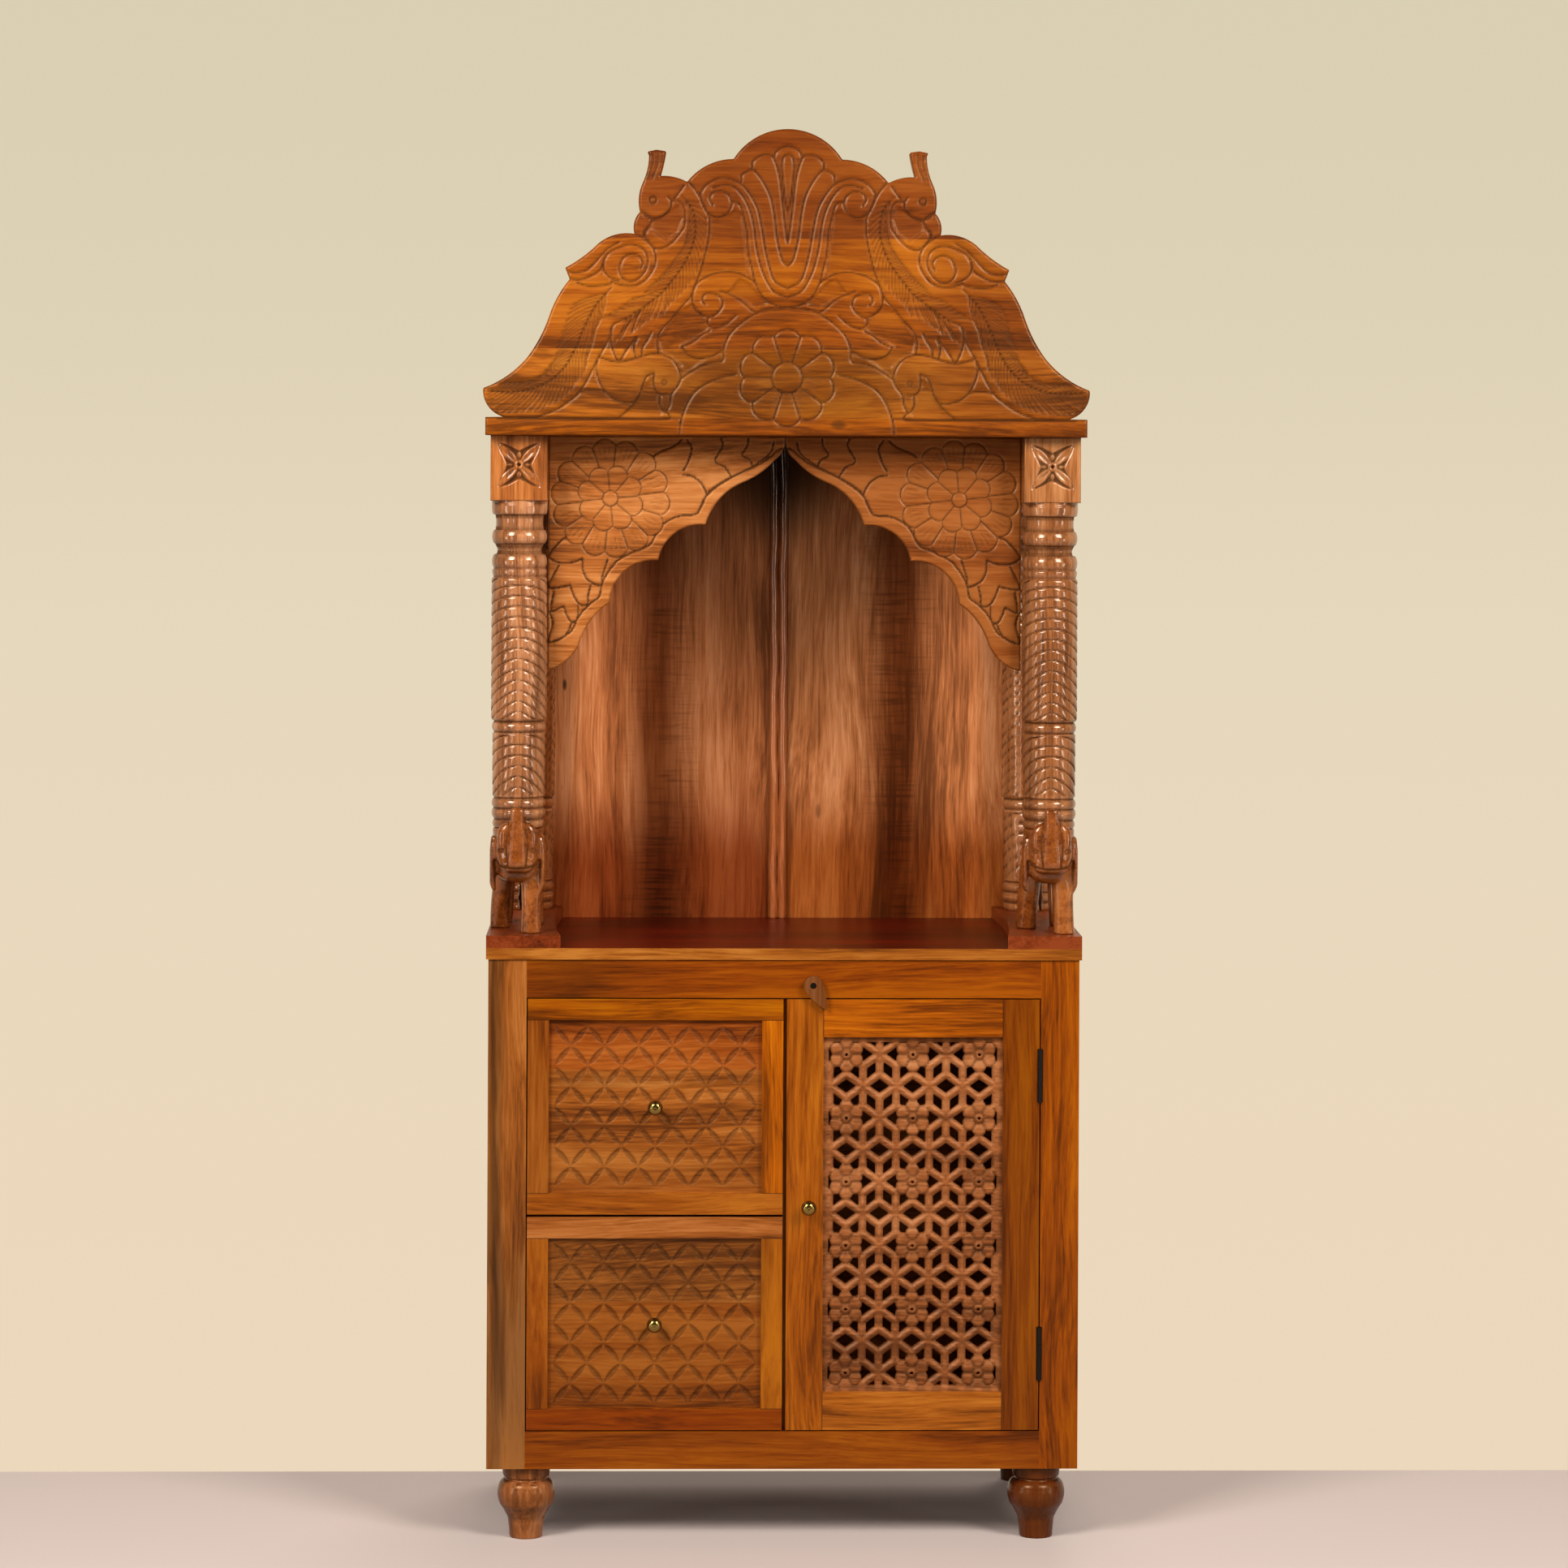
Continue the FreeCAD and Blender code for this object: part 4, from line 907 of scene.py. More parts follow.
def elephant_shapes(foot_z, back_z):
    """Body, saddle, head, trunk, ears, legs and tail, with the middle of the edge as the origin."""
    shapes = [lump((0, 106, back_z - 34), (28.5, 77, 34), 3.2),
              lump((0, 46, back_z - 45), (28, 20, 26), 2.8),
              lump((0, 30, back_z - 26), (28, 22.5, 28), 2.9),
              lump((0, 17, back_z - 12), (26, 9.6, 22.6), 2.8),
              limb([(0, 60, back_z - 10, 33, 33), (0, 60, back_z - 0.2, 33, 33)], 2.0, 40)]
    shapes.append(limb([(0, 18, back_z - 55, 18, 10), (0, 17, back_z - 50, 22, 12),
                        (0, 19, back_z - 40, 24, 13)]))
    shapes.append(limb([(x, y, back_z + z, a, b) for x, y, z, a, b in ELEPHANT_TRUNK], 3.4))
    shapes += [ear(side, back_z) for side in (-1, 1)]
    shapes += [limb([(x, y, foot_z + z, a, b) for x, y, z, a, b in leg]) for leg in ELEPHANT_LEGS]
    shapes.append(limb([(0, 184, foot_z + 14, 2, 2), (0, 185, foot_z + 30, 4.5, 2.6),
                        (0, 184, foot_z + 42, 2.6, 2.4), (0, 181, back_z - 14, 3.4, 3)]))
    return shapes


def elephant_marks(x, z, y, back_z):
    """Depth of the cut eyes, the mouth and the line round the face, from the front."""
    near = smooth(48, 34, y)
    eye = np.abs(np.hypot((np.abs(x) - 20.5) / 1.5, z - (back_z - 27)) - 2.3)
    pupil = np.hypot(np.abs(x) - 20.5, z - (back_z - 27))
    mouth = np.abs(z - (back_z - 49.5) - 0.006 * x * x)
    edge = np.abs(np.abs(x) - np.interp(z, [back_z - 48, back_z - 20, back_z + 12], [11.5, 14.4, 10.4]))
    marks = np.maximum(1.1 * fall(eye, 1.3), 0.8 * fall(pupil, 1.4))
    marks = np.maximum(marks, 1.6 * fall(mouth, 2.4) * (np.abs(x) < 24))
    marks = np.maximum(marks, 1.2 * fall(edge, 1.8) * (z > back_z - 48))
    return marks * near


def joined_mesh(name, shapes):
    """One mesh of several closed shapes."""
    mesh = bpy.data.meshes.new(name)
    build = bmesh.new()
    for points, faces in shapes:
        corners = [build.verts.new(point) for point in points]
        for face in faces:
            build.faces.new([corners[index] for index in face])
    bmesh.ops.recalc_face_normals(build, faces=build.faces)
    build.to_mesh(mesh)
    build.free()
    return mesh


def melt(piece):
    """Close a piece's shapes into one skin and soften it."""
    remesh = piece.modifiers.new("remesh", "REMESH")
    remesh.mode = "VOXEL"
    remesh.voxel_size = ELEPHANT_STEP
    soft = piece.modifiers.new("soften", "SMOOTH")
    soft.iterations = 5
    soft.factor = 0.6
    select(piece)
    bpy.ops.object.modifier_apply(modifier="remesh")
    bpy.ops.object.modifier_apply(modifier="soften")


def carved_elephant(side):
    """Rounded, tool-finished elephant in the room that the modelled one takes."""
    node = f"elephant_{side}"
    low, high = (np.array(corner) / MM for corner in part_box(node))
    back_z = low[2] + ELEPHANT_BACK
    piece = placed(node + "_carved", joined_mesh(node + "_carved", elephant_shapes(low[2], back_z)))
    melt(piece)
    points = np.array([v.co for v in piece.data.vertices])
    normals = np.array([v.normal for v in piece.data.vertices])
    marks = elephant_marks(points[:, 0], points[:, 2], points[:, 1], back_z) * (normals[:, 1] < -0.1)
    points[:, 1] += marks
    points = points + np.array([(low[0] + high[0]) / 2, low[1], 0])
    points = np.clip(points, low + np.array([0.2, 0.2, 0]), high - 0.2) * MM
    piece.data.vertices.foreach_set("co", points.ravel())
    # The cut eyes, mouth and face line are painted darker as shade
    mark_cuts(piece.data, np.clip(marks / 1.2, 0, 1))
    shade_smooth(piece.data, len(piece.data.polygons))
    return stand_in(piece, node)


# Materials: small builders of shader nodes
def tree_of(name):
    material = bpy.data.materials.new(name)
    material.use_nodes = True
    tree = material.node_tree
    tree.nodes.clear()
    return material, tree


def node_of(tree, kind, inputs=(), **settings):
    """A node with its settings, and its inputs set to numbers and colours or linked to outputs."""
    node = tree.nodes.new(kind)
    for key, value in settings.items():
        setattr(node, key, value)
    for key, value in dict(inputs).items():
        if isinstance(value, (int, float, tuple)):
            node.inputs[key].default_value = value
        else:
            tree.links.new(value, node.inputs[key])
    return node


def finish_tree(tree, surface, kind="ShaderNodeOutputMaterial"):
    node_of(tree, kind, {"Surface": surface})


def maths(tree, kind, first, second=0.0, third=0.0, clamp=False):
    inputs = {0: first, 1: second, 2: third}
    return node_of(tree, "ShaderNodeMath", inputs, operation=kind, use_clamp=clamp).outputs[0]


def times(tree, first, second):
    return maths(tree, "MULTIPLY", first, second)


def apart(tree, first, second):
    """How far one value is from another."""
    return maths(tree, "ABSOLUTE", maths(tree, "SUBTRACT", first, second))


def mixed(tree, share, first, second, blend="MIX"):
    inputs = {0: share, 6: first, 7: second}
    return node_of(tree, "ShaderNodeMix", inputs, data_type="RGBA", blend_type=blend).outputs[2]


def shifted(tree, amount, reach, place):
    """Place moved by a reach times an amount."""
    inputs = {0: amount, 1: reach, 2: place}
    return node_of(tree, "ShaderNodeVectorMath", inputs, operation="MULTIPLY_ADD").outputs[0]


def noise(tree, place, scale, shift, detail=3.0, rough=0.55, distortion=0.0):
    """Noise over a stretched and shifted place."""
    stretched = node_of(tree, "ShaderNodeMapping", {"Vector": place, "Scale": scale, "Location": shift})
    inputs = {"Vector": stretched.outputs["Vector"], "Scale": 1.0, "Detail": detail, "Roughness": rough,
              "Distortion": distortion}
    return node_of(tree, "ShaderNodeTexNoise", inputs).outputs["Fac"]


def ramp(tree, value, stops):
    node = node_of(tree, "ShaderNodeValToRGB", {"Fac": value})
    elements = node.color_ramp.elements
    while len(elements) < len(stops):
        elements.new(0.5)
    for element, (position, colour) in zip(elements, stops):
        element.position = position
        element.color = colour
    return node.outputs["Color"]


def stepped(tree, value, low, high):
    """Share that rises smoothly from nothing at one value to one at the other."""
    rising = low < high
    inputs = {"Value": value, "From Min": min(low, high), "From Max": max(low, high),
              "To Min": 0.0 if rising else 1.0, "To Max": 1.0 if rising else 0.0}
    return node_of(tree, "ShaderNodeMapRange", inputs, interpolation_type="SMOOTHSTEP").outputs["Result"]


def above(tree, threshold, value, gain):
    """How far a noise stands over a threshold, from nothing to one."""
    return maths(tree, "MULTIPLY", maths(tree, "SUBTRACT", value, threshold, clamp=True), gain, clamp=True)


def object_place(tree):
    """Place on the piece, and its three parts."""
    place = node_of(tree, "ShaderNodeTexCoord").outputs["Object"]
    parts = node_of(tree, "ShaderNodeSeparateXYZ", {0: place})
    return place, {letter: parts.outputs[index] for index, letter in enumerate("xyz")}


def grain_scale(axis, across, along):
    return tuple(along if letter == axis else across for letter in "xyz")


# Materials: wood
def grain(tree, place, look, axis, seed, streaks):
    """Colour of oiled wood along an axis, the height of its bands and its wide veins."""
    light, middle, dark = look
    shift = (seed * 1.37, seed * 2.11, seed * 0.73)
    warp = noise(tree, place, grain_scale(axis, 5, 1.6), shift, 2.0)
    bent = shifted(tree, warp, grain_scale(axis, 0.07, 0.0), place)
    bands = noise(tree, bent, grain_scale(axis, 75, 3.4), shift, 4.0, 0.62)
    tone = noise(tree, bent, grain_scale(axis, 12, 1.9), shift, 3.0, 0.5, 0.3)
    fine = noise(tree, bent, grain_scale(axis, 330, 13), shift, 3.0, 0.65)
    pores = noise(tree, place, grain_scale(axis, 520, 30), shift, 2.0, 0.7)
    veins = noise(tree, bent, grain_scale(axis, 30, 1.0), shift, 3.0, 0.6, 0.5)
    value = maths(tree, "ADD", times(tree, bands, 0.30), times(tree, tone, 0.42))
    value = maths(tree, "ADD", value, times(tree, fine, 0.28))
    colour = ramp(tree, value, [(0.415, dark), (0.5, middle), (0.595, light)])
    deep = tuple(part * share for part, share in zip(dark, (0.42, 0.45, 0.55, 1.0)))
    colour = mixed(tree, above(tree, 0.56, veins, 4.0 * streaks), colour, deep)
    colour = mixed(tree, times(tree, above(tree, 0.60, pores, 3.4), 0.6), colour, deep)
    return colour, bands, veins


def banded(tree, parts, colour, veins, patches):
    """Ragged darker or lighter bands across a board: axis, middle, half width, softness, colour, share."""
    for letter, middle, half, soft, tint, share in patches:
        ragged = maths(tree, "MULTIPLY_ADD", veins, soft * 1.4, -soft * 0.7)
        away = maths(tree, "ADD", apart(tree, parts[letter], middle), ragged)
        mask = stepped(tree, away, half + soft, max(half - soft, 0.0))
        colour = mixed(tree, times(tree, mask, share), colour, tint, "MULTIPLY")
    return colour


def planked(tree, place, parts, planks):
    """Place shifted from plank to plank, so that each has its own grain, and the planks' tones."""
    letter, joints, tones = planks
    tone = tones[0]
    index = 0.0
    for joint, next_tone in zip(joints, tones[1:]):
        past = maths(tree, "GREATER_THAN", parts[letter], joint)
        index = maths(tree, "ADD", index, past)
        tone = mixed(tree, past, tone, next_tone)
    return shifted(tree, index, (3.7, 1.3, 2.9), place), tone


def curled(tree, place, parts, colour, dark, axis, seed, centres):
    """Curly figure: short cross ripples, strongest in a band on each board."""
    shift = (seed, seed * 0.7, seed * 1.9)
    waves = noise(tree, place, grain_scale(axis, 16, 230), shift, 2.0, 0.5, 0.4)
    area = noise(tree, place, grain_scale(axis, 14, 4), shift, 2.0)
    band = stepped(tree, apart(tree, maths(tree, "ABSOLUTE", parts["x"]), centres), 0.075, 0.0)
    share = times(tree, above(tree, 0.48, waves, 5.0), above(tree, 0.40, area, 5.0))
    return mixed(tree, times(tree, times(tree, share, band), 0.9), colour, dark)


def knotted_and_shaded(tree, parts, colour, knots_and_shade):
    """Dark knots, and painted shade drawn the same way: middle in x and z, half width, half height and
    strength.
    """
    for middle_x, middle_z, half_x, half_z, strength in knots_and_shade:
        across = maths(tree, "DIVIDE", maths(tree, "SUBTRACT", parts["x"], middle_x), half_x)
        up = maths(tree, "DIVIDE", maths(tree, "SUBTRACT", parts["z"], middle_z), half_z)
        away = maths(tree, "ADD", times(tree, across, across), times(tree, up, up))
        colour = mixed(tree, times(tree, stepped(tree, away, 1.6, 0.1), strength), colour, KNOTS_JOINTS_AND_SHADE)
    return colour


def oiled(tree, colour, bands, gloss, cut_shade=0.0, polish=0.05):
    """Satin surface over a colour; the cuts are dull and painted darker as shade."""
    rough = maths(tree, "ADD", times(tree, bands, 0.16), gloss - 0.08)
    if cut_shade:
        mark = node_of(tree, "ShaderNodeAttribute", attribute_name="cavity").outputs["Fac"]
        colour = mixed(tree, times(tree, mark, cut_shade), colour, KNOTS_JOINTS_AND_SHADE)
        dull = maths(tree, "MULTIPLY", mark, 1.7, clamp=True)
        rough = maths(tree, "MAXIMUM", rough, times(tree, dull, 0.85))
        polish = times(tree, maths(tree, "SUBTRACT", 1.0, dull), polish)
    bump = node_of(tree, "ShaderNodeBump", {"Strength": 0.12, "Distance": 0.0006, "Height": bands})
    inputs = {"Base Color": colour, "Roughness": rough, "Normal": bump.outputs["Normal"],
              "Coat Weight": polish, "Coat Roughness": 0.13,
              "Specular Tint": (1.0, 0.66, 0.32, 1.0), "Specular IOR Level": 0.3}
    finish_tree(tree, node_of(tree, "ShaderNodeBsdfPrincipled", inputs).outputs["BSDF"])


def wood(name, look, axis="z", seed=0.0, gloss=0.34, cut_shade=0.0, streaks=0.5, curl=None, planks=None,
         patches=(), knots_and_shade=(), polish=0.05):
    """Oiled wood in one piece or in planks."""
    material, tree = tree_of(name)
    place, parts = object_place(tree)
    if planks:
        place, tone = planked(tree, place, parts, planks)
    colour, bands, veins = grain(tree, place, look, axis, seed, streaks)
    if planks:
        colour = mixed(tree, 1.0, colour, tone, "MULTIPLY")
    if curl is not None:
        colour = curled(tree, place, parts, colour, look[2], axis, seed, curl)
    colour = banded(tree, parts, colour, veins, patches)
    oiled(tree, knotted_and_shaded(tree, parts, colour, knots_and_shade), bands, gloss, cut_shade, polish)
    return material


def bar_colour(tree, grained, past_middle, tones):
    """Grain in one of two tones, from the middle of the frame on in the second."""
    return mixed(tree, 1.0, grained, mixed(tree, past_middle, *tones), "MULTIPLY")


def seam_line(tree, away, edge, within):
    """Thin line where the end of one bar meets the side of the next."""
    return times(tree, maths(tree, "LESS_THAN", apart(tree, away, edge), SEAM_HALF), within)


def framed_wood(name, box, bars, tones, stiles_run, seed):
    """Frame of two upright stiles and two level rails, each with its own grain and tone."""
    material, tree = tree_of(name)
    place, parts = object_place(tree)
    low, high = box
    off_x = maths(tree, "SUBTRACT", parts["x"], (low.x + high.x) / 2)
    off_z = maths(tree, "SUBTRACT", parts["z"], (low.z + high.z) / 2)
    away_x, away_z = maths(tree, "ABSOLUTE", off_x), maths(tree, "ABSOLUTE", off_z)
    stile_edge, rail_edge = (high.x - low.x) / 2 - bars[0], (high.z - low.z) / 2 - bars[1]
    in_stile = maths(tree, "GREATER_THAN", away_x, stile_edge)
    in_rail = maths(tree, "GREATER_THAN", away_z, rail_edge)
    upright, bands, _ = grain(tree, place, WARM, "z", seed, 0.5)
    level, _, _ = grain(tree, place, WARM, "x", seed + 5, 0.4)
    upright = bar_colour(tree, upright, maths(tree, "GREATER_THAN", off_x, 0.0), tones[:2])
    level = bar_colour(tree, level, maths(tree, "GREATER_THAN", off_z, 0.0), tones[2:])
    if stiles_run:
        colour = mixed(tree, in_stile, level, upright)
        seam = seam_line(tree, away_x, stile_edge, in_rail)
    else:
        colour = mixed(tree, in_rail, upright, level)
        seam = seam_line(tree, away_z, rail_edge, in_stile)
    oiled(tree, mixed(tree, times(tree, seam, 0.6), colour, KNOTS_JOINTS_AND_SHADE), bands, 0.34)
    return material


def metal(name, colour, rough, share):
    material, tree = tree_of(name)
    inputs = {"Base Color": colour, "Roughness": rough, "Metallic": share}
    finish_tree(tree, node_of(tree, "ShaderNodeBsdfPrincipled", inputs).outputs["BSDF"])
    return material


def paint(piece, material):
    piece.data.materials.clear()
    piece.data.materials.append(material)


def soften(piece):
    """Slightly rounded edges."""
    bevel = piece.modifiers.new("soft_edges", "BEVEL")
    bevel.width = 0.0012
    bevel.segments = 2
    bevel.limit_method = "ANGLE"
    bevel.angle_limit = math.radians(40)
    bevel.harden_normals = False


# Heights in metres: the shrine's top, where the crest stands, and the middle of the pillars' blocks
SHRINE_TOP = 1.414
BLOCK_MIDDLE = SHRINE_TOP - BLOCK_HIGH * MM / 2

# Colours; a wood's look is its light, middle and dark colour
# Dark brown of knots and joint lines, also used for the shade painted into cuts and under the arch's apex
KNOTS_JOINTS_AND_SHADE = srgb(34, 14, 4)
GREYED = (0.50, 0.54, 0.72, 1.0)
DARKENED = (0.30, 0.19, 0.11, 1.0)
WARM = (srgb(196, 112, 34), srgb(164, 82, 16), srgb(104, 46, 6))
TAN = (srgb(190, 118, 62), srgb(160, 88, 38), srgb(108, 54, 20))
SEAM_HALF = 0.0007

# Painted shade behind the arch's apex, drawn like a dark knot
APEX_PAINTED_SHADE = (0.0, 1.425, 0.10, 0.15, 1.0)

# Boards in one piece: grain axis, tone, gloss, streaks
INSIDE = ((0.80, 0.80, 0.80), 0.50, 0.3)
OUTER_SIDE = ("z", (0.85, 0.80, 0.60), 0.40, 0.5)
DRAWER_BOX = ("y", (0.90, 0.90, 0.90), 0.50, 0.2)
PLINTH = ("y", (0.33, 0.19, 0.43), 0.40, 0.3)
LEFT_FOOT = ("z", (0.62, 0.80, 3.2), 0.28, 0.3)
RIGHT_FOOT = ("z", (0.18, 0.13, 0.20), 0.28, 0.3)
BOARDS = {
    "post_left": ("z", (0.60, 0.70, 1.4), 0.42, 1.3),
    "post_right": ("z", (0.58, 0.48, 0.01), 0.38, 0.3),
    "rail_bottom": ("x", (0.45, 0.36, 0.095), 0.42, 0.3),
    "rail_top": ("x", (0.47, 0.35, 0.006), 0.38, 0.4),
    "side_left": OUTER_SIDE,
    "side_right": OUTER_SIDE,
    "cupboard_floor": ("x", *INSIDE),
    "cupboard_back": ("x", *INSIDE),
    "cupboard_divider": ("z", *INSIDE),
    "counter": ("x", (0.62, 0.72, 1.05), 0.34, 0.3),
    "drawer_runners_left": ("y", *INSIDE),
    "drawer_runners_right": ("y", *INSIDE),
    "drawer_upper_box": DRAWER_BOX,
    "drawer_lower_box": DRAWER_BOX,
    "turn_button": ("z", (0.28, 0.31, 0.85), 0.45, 0.2),
    "plinth_left": PLINTH,
    "plinth_right": PLINTH,
    "shrine_roof": ("x", (0.62, 0.52, 0.20), 0.40, 0.3),
    "foot_front_left": LEFT_FOOT,
    "foot_front_right": RIGHT_FOOT,
    "foot_back_left": LEFT_FOOT,
    "foot_back_right": RIGHT_FOOT,
}
BOARD_PATCHES = {
    "post_left": [("z", 0.24, 0.15, 0.12, GREYED, 0.85), ("x", -0.366, 0.007, 0.005, GREYED, 0.6)],
    # The counter's top is painted much darker than its front edge: partly its own colour, partly a painted
    # reflection of the dark niche
    "counter": [("y", 0.011, 0.2025, 0.0008, (0.30, 0.022, 0.001, 1), 1.0)],
    "rail_top": [("x", -0.27, 0.06, 0.06, GREYED, 0.7)],
}

# Back boards: where their curly figure is strongest; side, sign of x, tone, tint near the foot, and knots
# with the painted shade under the arch's apex
CURL_X = 0.165
BACK_BOARDS = (
    ("left", -1, (0.92, 0.98, 1.45), (0.36, 0.135, 0.01, 1), [(-0.291, 1.076, 0.003, 0.008, 0.85), APEX_PAINTED_SHADE]),
    ("right", 1, (1.08, 1.26, 1.95), (0.50, 0.28, 0.055, 1), [(0.055, 0.905, 0.004, 0.010, 0.45), APEX_PAINTED_SHADE]),
)

# Frames: widths of stiles and rails, tones of left, right, bottom and top bar, whether the stiles run
# through, seed
FRAMES = {
    "door_frame": ((0.047, 0.0485), [(0.66, 0.635, 0.33, 1), (0.36, 0.295, 0.027, 1),
                                     (0.75, 0.82, 0.9, 1), (0.78, 0.72, 0.16, 1)], True, 41),
    "drawer_upper_frame": ((0.027, 0.027), [(0.45, 0.43, 0.44, 1), (0.87, 0.83, 0.11, 1),
                                            (0.585, 0.575, 0.45, 1), (0.60, 0.565, 0.024, 1)], False, 43),
    "drawer_lower_frame": ((0.027, 0.027), [(0.50, 0.45, 0.28, 1), (0.60, 0.57, 0.22, 1),
                                            (0.40, 0.25, 0.005, 1), (0.66, 0.76, 1.8, 1)], False, 47),
}

# Crest: joints of its planks, their tones from the foot up, tinted patches and knots
CREST_PLANKS = ("z", [SHRINE_TOP + rise for rise in (0.0225, 0.111, 0.253)],
                [(0.70, 0.68, 0.035, 1), (0.72, 0.80, 0.60, 1), (0.58, 0.54, 0.20, 1),
                 (0.375, 0.295, 0.24, 1)])
CREST_PATCHES = [("x", 0.0, 0.14, 0.09, (0.80, 0.73, 0.24, 1), 0.9),
                 ("x", 0.31, 0.12, 0.05, (0.62, 0.54, 0.40, 1), 0.9)]
CREST_KNOTS = [(0.066, SHRINE_TOP + 0.015, 0.010, 0.006, 0.6), (0.0, SHRINE_TOP + 0.066, 0.24, 0.05, 0.45)]
ARCH_TONES = ((0.76, 0.94, 2.6), (0.43, 0.42, 0.78))
PANEL_PLANKS = (
    ("z", [0.509, 0.6035], [(0.61, 0.66, 0.86, 1), (0.73, 0.84, 1.28, 1), (0.64, 0.56, 0.63, 1)]),
    ("z", [0.3056], [(0.52, 0.51, 0.52, 1), (0.57, 0.70, 1.2, 1)]),
)

# Pillars, front left and right, back left and right: tone of the shaft and tint of its block; the back
# pillars' darker tones are painted shade
PILLAR_TONES_AND_SHADE = (
    ((0.94, 1.24, 2.2), (0.97, 0.76, 0.42, 1.0)),
    # Back pillars: darkened as painted shade, for the shadow they stand in
    ((0.70, 0.83, 1.2), (1.13, 1.16, 1.1, 1.0)),
    ((0.42, 0.36, 0.36), (1.0, 1.0, 1.0, 1.0)),
    ((0.55, 0.58, 0.75), (1.0, 1.0, 1.0, 1.0)),
)


def toned(look, tone):
    return tuple(tuple(min(part * share, 1) for part, share in zip(colour, tone)) + (1.0,) for colour in look)


def paint_boards():
    for index, (name, (axis, tone, gloss, streaks)) in enumerate(BOARDS.items()):
        paint(nodes[name], wood("wood_" + name, toned(WARM, tone), axis=axis, seed=1.7 * index + 3,
                                gloss=gloss, streaks=streaks, patches=BOARD_PATCHES.get(name, ())))
        soften(nodes[name])
    for index, (side, sign, tone, foot_tint, knots_and_shade) in enumerate(BACK_BOARDS):
        name = f"shrine_back_{side}"
        patches = [("x", sign * CURL_X, 0.036, 0.035, DARKENED, 1.0), ("z", 0.79, 0.11, 0.07, foot_tint, 0.9)]
        paint(nodes[name], wood("wood_" + name, toned(TAN, tone), seed=61 + 7 * index, gloss=0.36,
                                streaks=0.25, curl=CURL_X, patches=patches, knots_and_shade=knots_and_shade))
        soften(nodes[name])
    for name, look in FRAMES.items():
        paint(nodes[name], framed_wood("wood_" + name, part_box(name), *look))
        soften(nodes[name])


def paint_metal():
    brass = metal("aged_brass", srgb(136, 112, 58), 0.22, 1.0)
    iron = metal("black_iron", srgb(26, 22, 20), 0.4, 0.8)
    for name in ("drawer_upper_knob", "drawer_lower_knob", "door_knob"):
        paint(nodes[name], brass)
        for polygon in nodes[name].data.polygons:
            polygon.use_smooth = True
    for name in ("hinge_upper_fixed", "hinge_upper_moving", "hinge_lower_fixed", "hinge_lower_moving",
                 "turn_button_screw"):
        paint(nodes[name], iron)


def paint_carved_boards(crest, arches, panels, lattice):
    paint(crest, wood("wood_crest", toned(WARM, (1.0, 1.0, 1.1)), axis="x", seed=81, gloss=0.42, cut_shade=0.85,
                      streaks=0.25, planks=CREST_PLANKS, patches=CREST_PATCHES, knots_and_shade=CREST_KNOTS))
    for index, (piece, tone) in enumerate(zip(arches, ARCH_TONES)):
        paint(piece, wood(f"wood_arch_{index}", toned(WARM, tone), axis="x", seed=85 + index, gloss=0.42,
                          cut_shade=0.85, streaks=0.2))
    for index, (piece, planks) in enumerate(zip(panels, PANEL_PLANKS)):
        paint(piece, wood(f"wood_panel_{index}", toned(WARM, (0.9, 0.9, 1.1)), axis="x", seed=90 + index,
                          cut_shade=0.62, planks=planks))
    paint(lattice, wood("wood_lattice", toned(TAN, (0.70, 0.73, 0.95)), axis="x", seed=95, gloss=0.5,
                        cut_shade=0.7, streaks=0.3))


def paint_carved_posts(pillars, elephants, batten):
    for index, (piece, (tone, tint)) in enumerate(zip(pillars, PILLAR_TONES_AND_SHADE)):
        block_tint = ("z", BLOCK_MIDDLE, BLOCK_HIGH * MM / 2, 0.001, tint, 1.0)
        paint(piece, wood(f"wood_pillar_{index}", toned(TAN, tone), seed=97 + index, gloss=0.22, cut_shade=0.85,
                          streaks=0.3, patches=[block_tint], polish=0.75))
    # The batten carries the same painted shade under the arch's apex
    paint(batten, wood("wood_batten", toned(TAN, (0.76, 0.62, 0.60)), seed=103, gloss=0.14, cut_shade=0.5,
                       streaks=0.3, knots_and_shade=[APEX_PAINTED_SHADE], polish=0.9))
    for index, piece in enumerate(elephants):
        paint(piece, wood(f"wood_elephant_{index}", toned(TAN, (0.53, 0.44, 0.31)), axis="y",
                          seed=105 + index, gloss=0.28, cut_shade=0.8, polish=0.6))


# Room: the wall's place and the half width of wall and floor in metres, and their colours
WALL_Y = 0.222
ROOM_HALF = 4
FLOOR_PALE = srgb(192, 176, 169)
FLOOR_BOUNCE = (0.05, 0.04, 0.035, 1.0)
WALL_TONES = [(0.0, srgb(236, 216, 188)), (0.55, srgb(230, 216, 189)), (1.0, srgb(218, 207, 178))]

# Lights: place, height aimed at, width and height, power, whether gloss mirrors them
LIGHTS = {
    "left_softbox": ((-2.0, -2.6, 2.8), 0.95, (1.2, 1.5), 149, True),
    "right_softbox": ((2.0, -2.6, 2.8), 0.95, (1.2, 1.5), 132, True),
    "back_softbox": ((0.6, 3.2, 2.6), 0.95, (1.8, 1.8), 75, False),
    "front_fill": ((0, -4.5, 1.7), 0.95, (1.6, 1.6), 35, False),
    "left_strip": ((-1.7, -2.7, 0.75), 0.75, (0.12, 1.1), 5, True),
    "left_window": ((-2.7, -1.7, 0.75), 0.75, (0.20, 1.15), 12, True),
    "right_strip": ((1.7, -2.7, 0.75), 0.75, (0.12, 1.1), 5, True),
    "right_window": ((2.7, -1.7, 0.75), 0.75, (0.20, 1.15), 12, True),
}
AMBIENT = 0.03

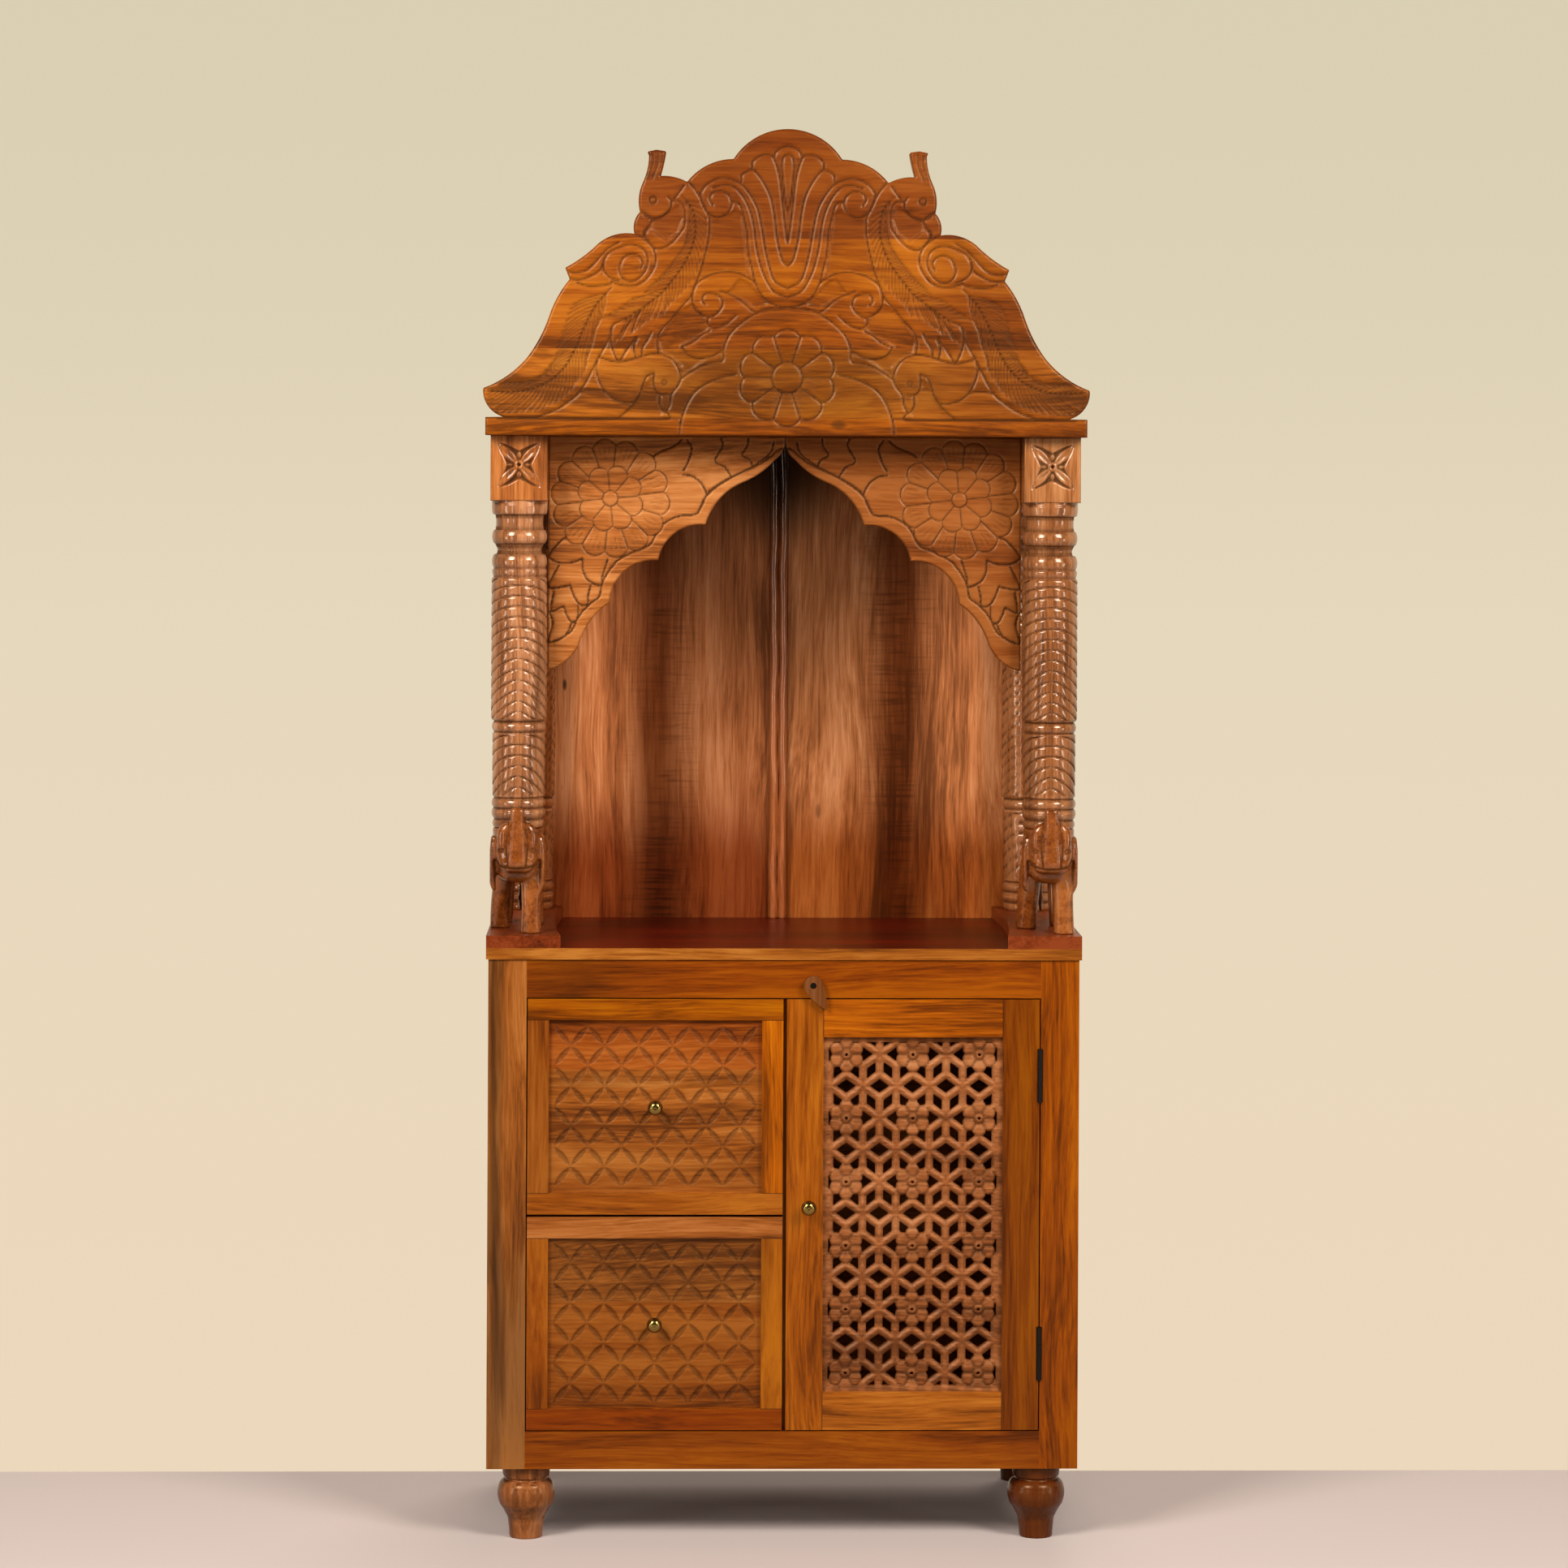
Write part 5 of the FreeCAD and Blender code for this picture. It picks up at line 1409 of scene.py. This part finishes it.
# Camera, in metres and radians, and its framing in pixels of the square image
CAMERA_TURN = 0.0252
CAMERA_ROLL = 0.0045
CAMERA_AWAY = 6.062
CAMERA_SIDE = 0.0013
CAMERA_HEIGHT = 1.395
FOCAL_PIXELS = 5660.0
IMAGE_PIXELS = 1932.0
HORIZON_ROW = 556.0


def area_light(name, place, aim_z, size, power, mirrored_in_gloss):
    data = bpy.data.lights.new(name, "AREA")
    data.shape = "RECTANGLE"
    data.size, data.size_y = size
    data.energy = power
    data.color = (1.0, 0.97, 0.93)
    lamp = placed(name, data)
    lamp.location = place
    lamp.rotation_euler = (Vector(place) - Vector((0, 0, aim_z))).to_track_quat("Z", "Y").to_euler()
    lamp.visible_glossy = mirrored_in_gloss


def world_light():
    world = bpy.data.worlds.new("room")
    bpy.context.scene.world = world
    world.use_nodes = True
    tree = world.node_tree
    tree.nodes.clear()
    soft = node_of(tree, "ShaderNodeBackground", {"Color": (1.0, 0.9, 0.76, 1), "Strength": AMBIENT})
    finish_tree(tree, soft.outputs[0], "ShaderNodeOutputWorld")


def seen_ray(tree):
    """One for rays from the camera, from glossy surfaces and through glass, which see the room as painted."""
    path = node_of(tree, "ShaderNodeLightPath")
    direct = maths(tree, "MAXIMUM", path.outputs["Is Camera Ray"], path.outputs["Is Glossy Ray"])
    return maths(tree, "MAXIMUM", direct, path.outputs["Is Transmission Ray"])


def wall_paint():
    """Plain lit wall that only the camera and reflections see, and only from the room's side."""
    material, tree = tree_of("wall_paint")
    _, parts = object_place(tree)
    colour = ramp(tree, stepped(tree, parts["z"], 0.0, 2.1), WALL_TONES)
    behind = node_of(tree, "ShaderNodeNewGeometry").outputs["Backfacing"]
    inputs = {0: maths(tree, "SUBTRACT", seen_ray(tree), behind, clamp=True),
              1: node_of(tree, "ShaderNodeBsdfTransparent").outputs[0],
              2: node_of(tree, "ShaderNodeEmission", {"Color": colour}).outputs[0]}
    finish_tree(tree, node_of(tree, "ShaderNodeMixShader", inputs).outputs[0])
    return material


def floor_paint():
    """Plain pale floor that keeps the shadow, and throws little light back up."""
    material, tree = tree_of("floor_paint")
    inputs = {"Base Color": mixed(tree, seen_ray(tree), FLOOR_BOUNCE, FLOOR_PALE), "Roughness": 0.75}
    finish_tree(tree, node_of(tree, "ShaderNodeBsdfPrincipled", inputs).outputs["BSDF"])
    return material


def sheet(name, corners, material):
    mesh = bpy.data.meshes.new(name)
    mesh.from_pydata(corners, [], [(0, 1, 2, 3)])
    piece = placed(name, mesh)
    paint(piece, material)


def room():
    far, back = ROOM_HALF, WALL_Y
    sheet("ground", [(-far, -far, 0), (far, -far, 0), (far, far, 0), (-far, far, 0)], floor_paint())
    sheet("wall", [(-far, back, 0), (far, back, 0), (far, back, far), (-far, back, far)], wall_paint())


def camera():
    data = bpy.data.cameras.new("camera")
    data.sensor_width = 36.0
    data.lens = FOCAL_PIXELS / IMAGE_PIXELS * data.sensor_width
    data.shift_y = (HORIZON_ROW - IMAGE_PIXELS / 2) / IMAGE_PIXELS
    eye = placed("camera", data)
    cos_turn, sin_turn = math.cos(CAMERA_TURN), math.sin(CAMERA_TURN)
    eye.location = (CAMERA_SIDE * cos_turn - CAMERA_AWAY * sin_turn,
                    -CAMERA_SIDE * sin_turn - CAMERA_AWAY * cos_turn, CAMERA_HEIGHT)
    eye.rotation_euler = (math.radians(90), -CAMERA_ROLL, -CAMERA_TURN)
    bpy.context.scene.camera = eye


crest = carved_crest()
arches = [carved_arch("left", -1), carved_arch("right", 1)]
panels = [carved_panel("upper"), carved_panel("lower")]
lattice = carved_lattice()
pillars = [carved_pillar(place, side) for place in ("front", "back") for side in ("left", "right")]
elephants = [carved_elephant("left"), carved_elephant("right")]
batten = reeded_batten()

paint_carved_boards(crest, arches, panels, lattice)
paint_carved_posts(pillars, elephants, batten)
paint_boards()
paint_metal()
world_light()
room()
for light, (place, aim_z, size, power, mirrored_in_gloss) in LIGHTS.items():
    area_light(light, place, aim_z, size, power, mirrored_in_gloss)
camera()
bpy.context.scene.view_settings.view_transform = "Standard"
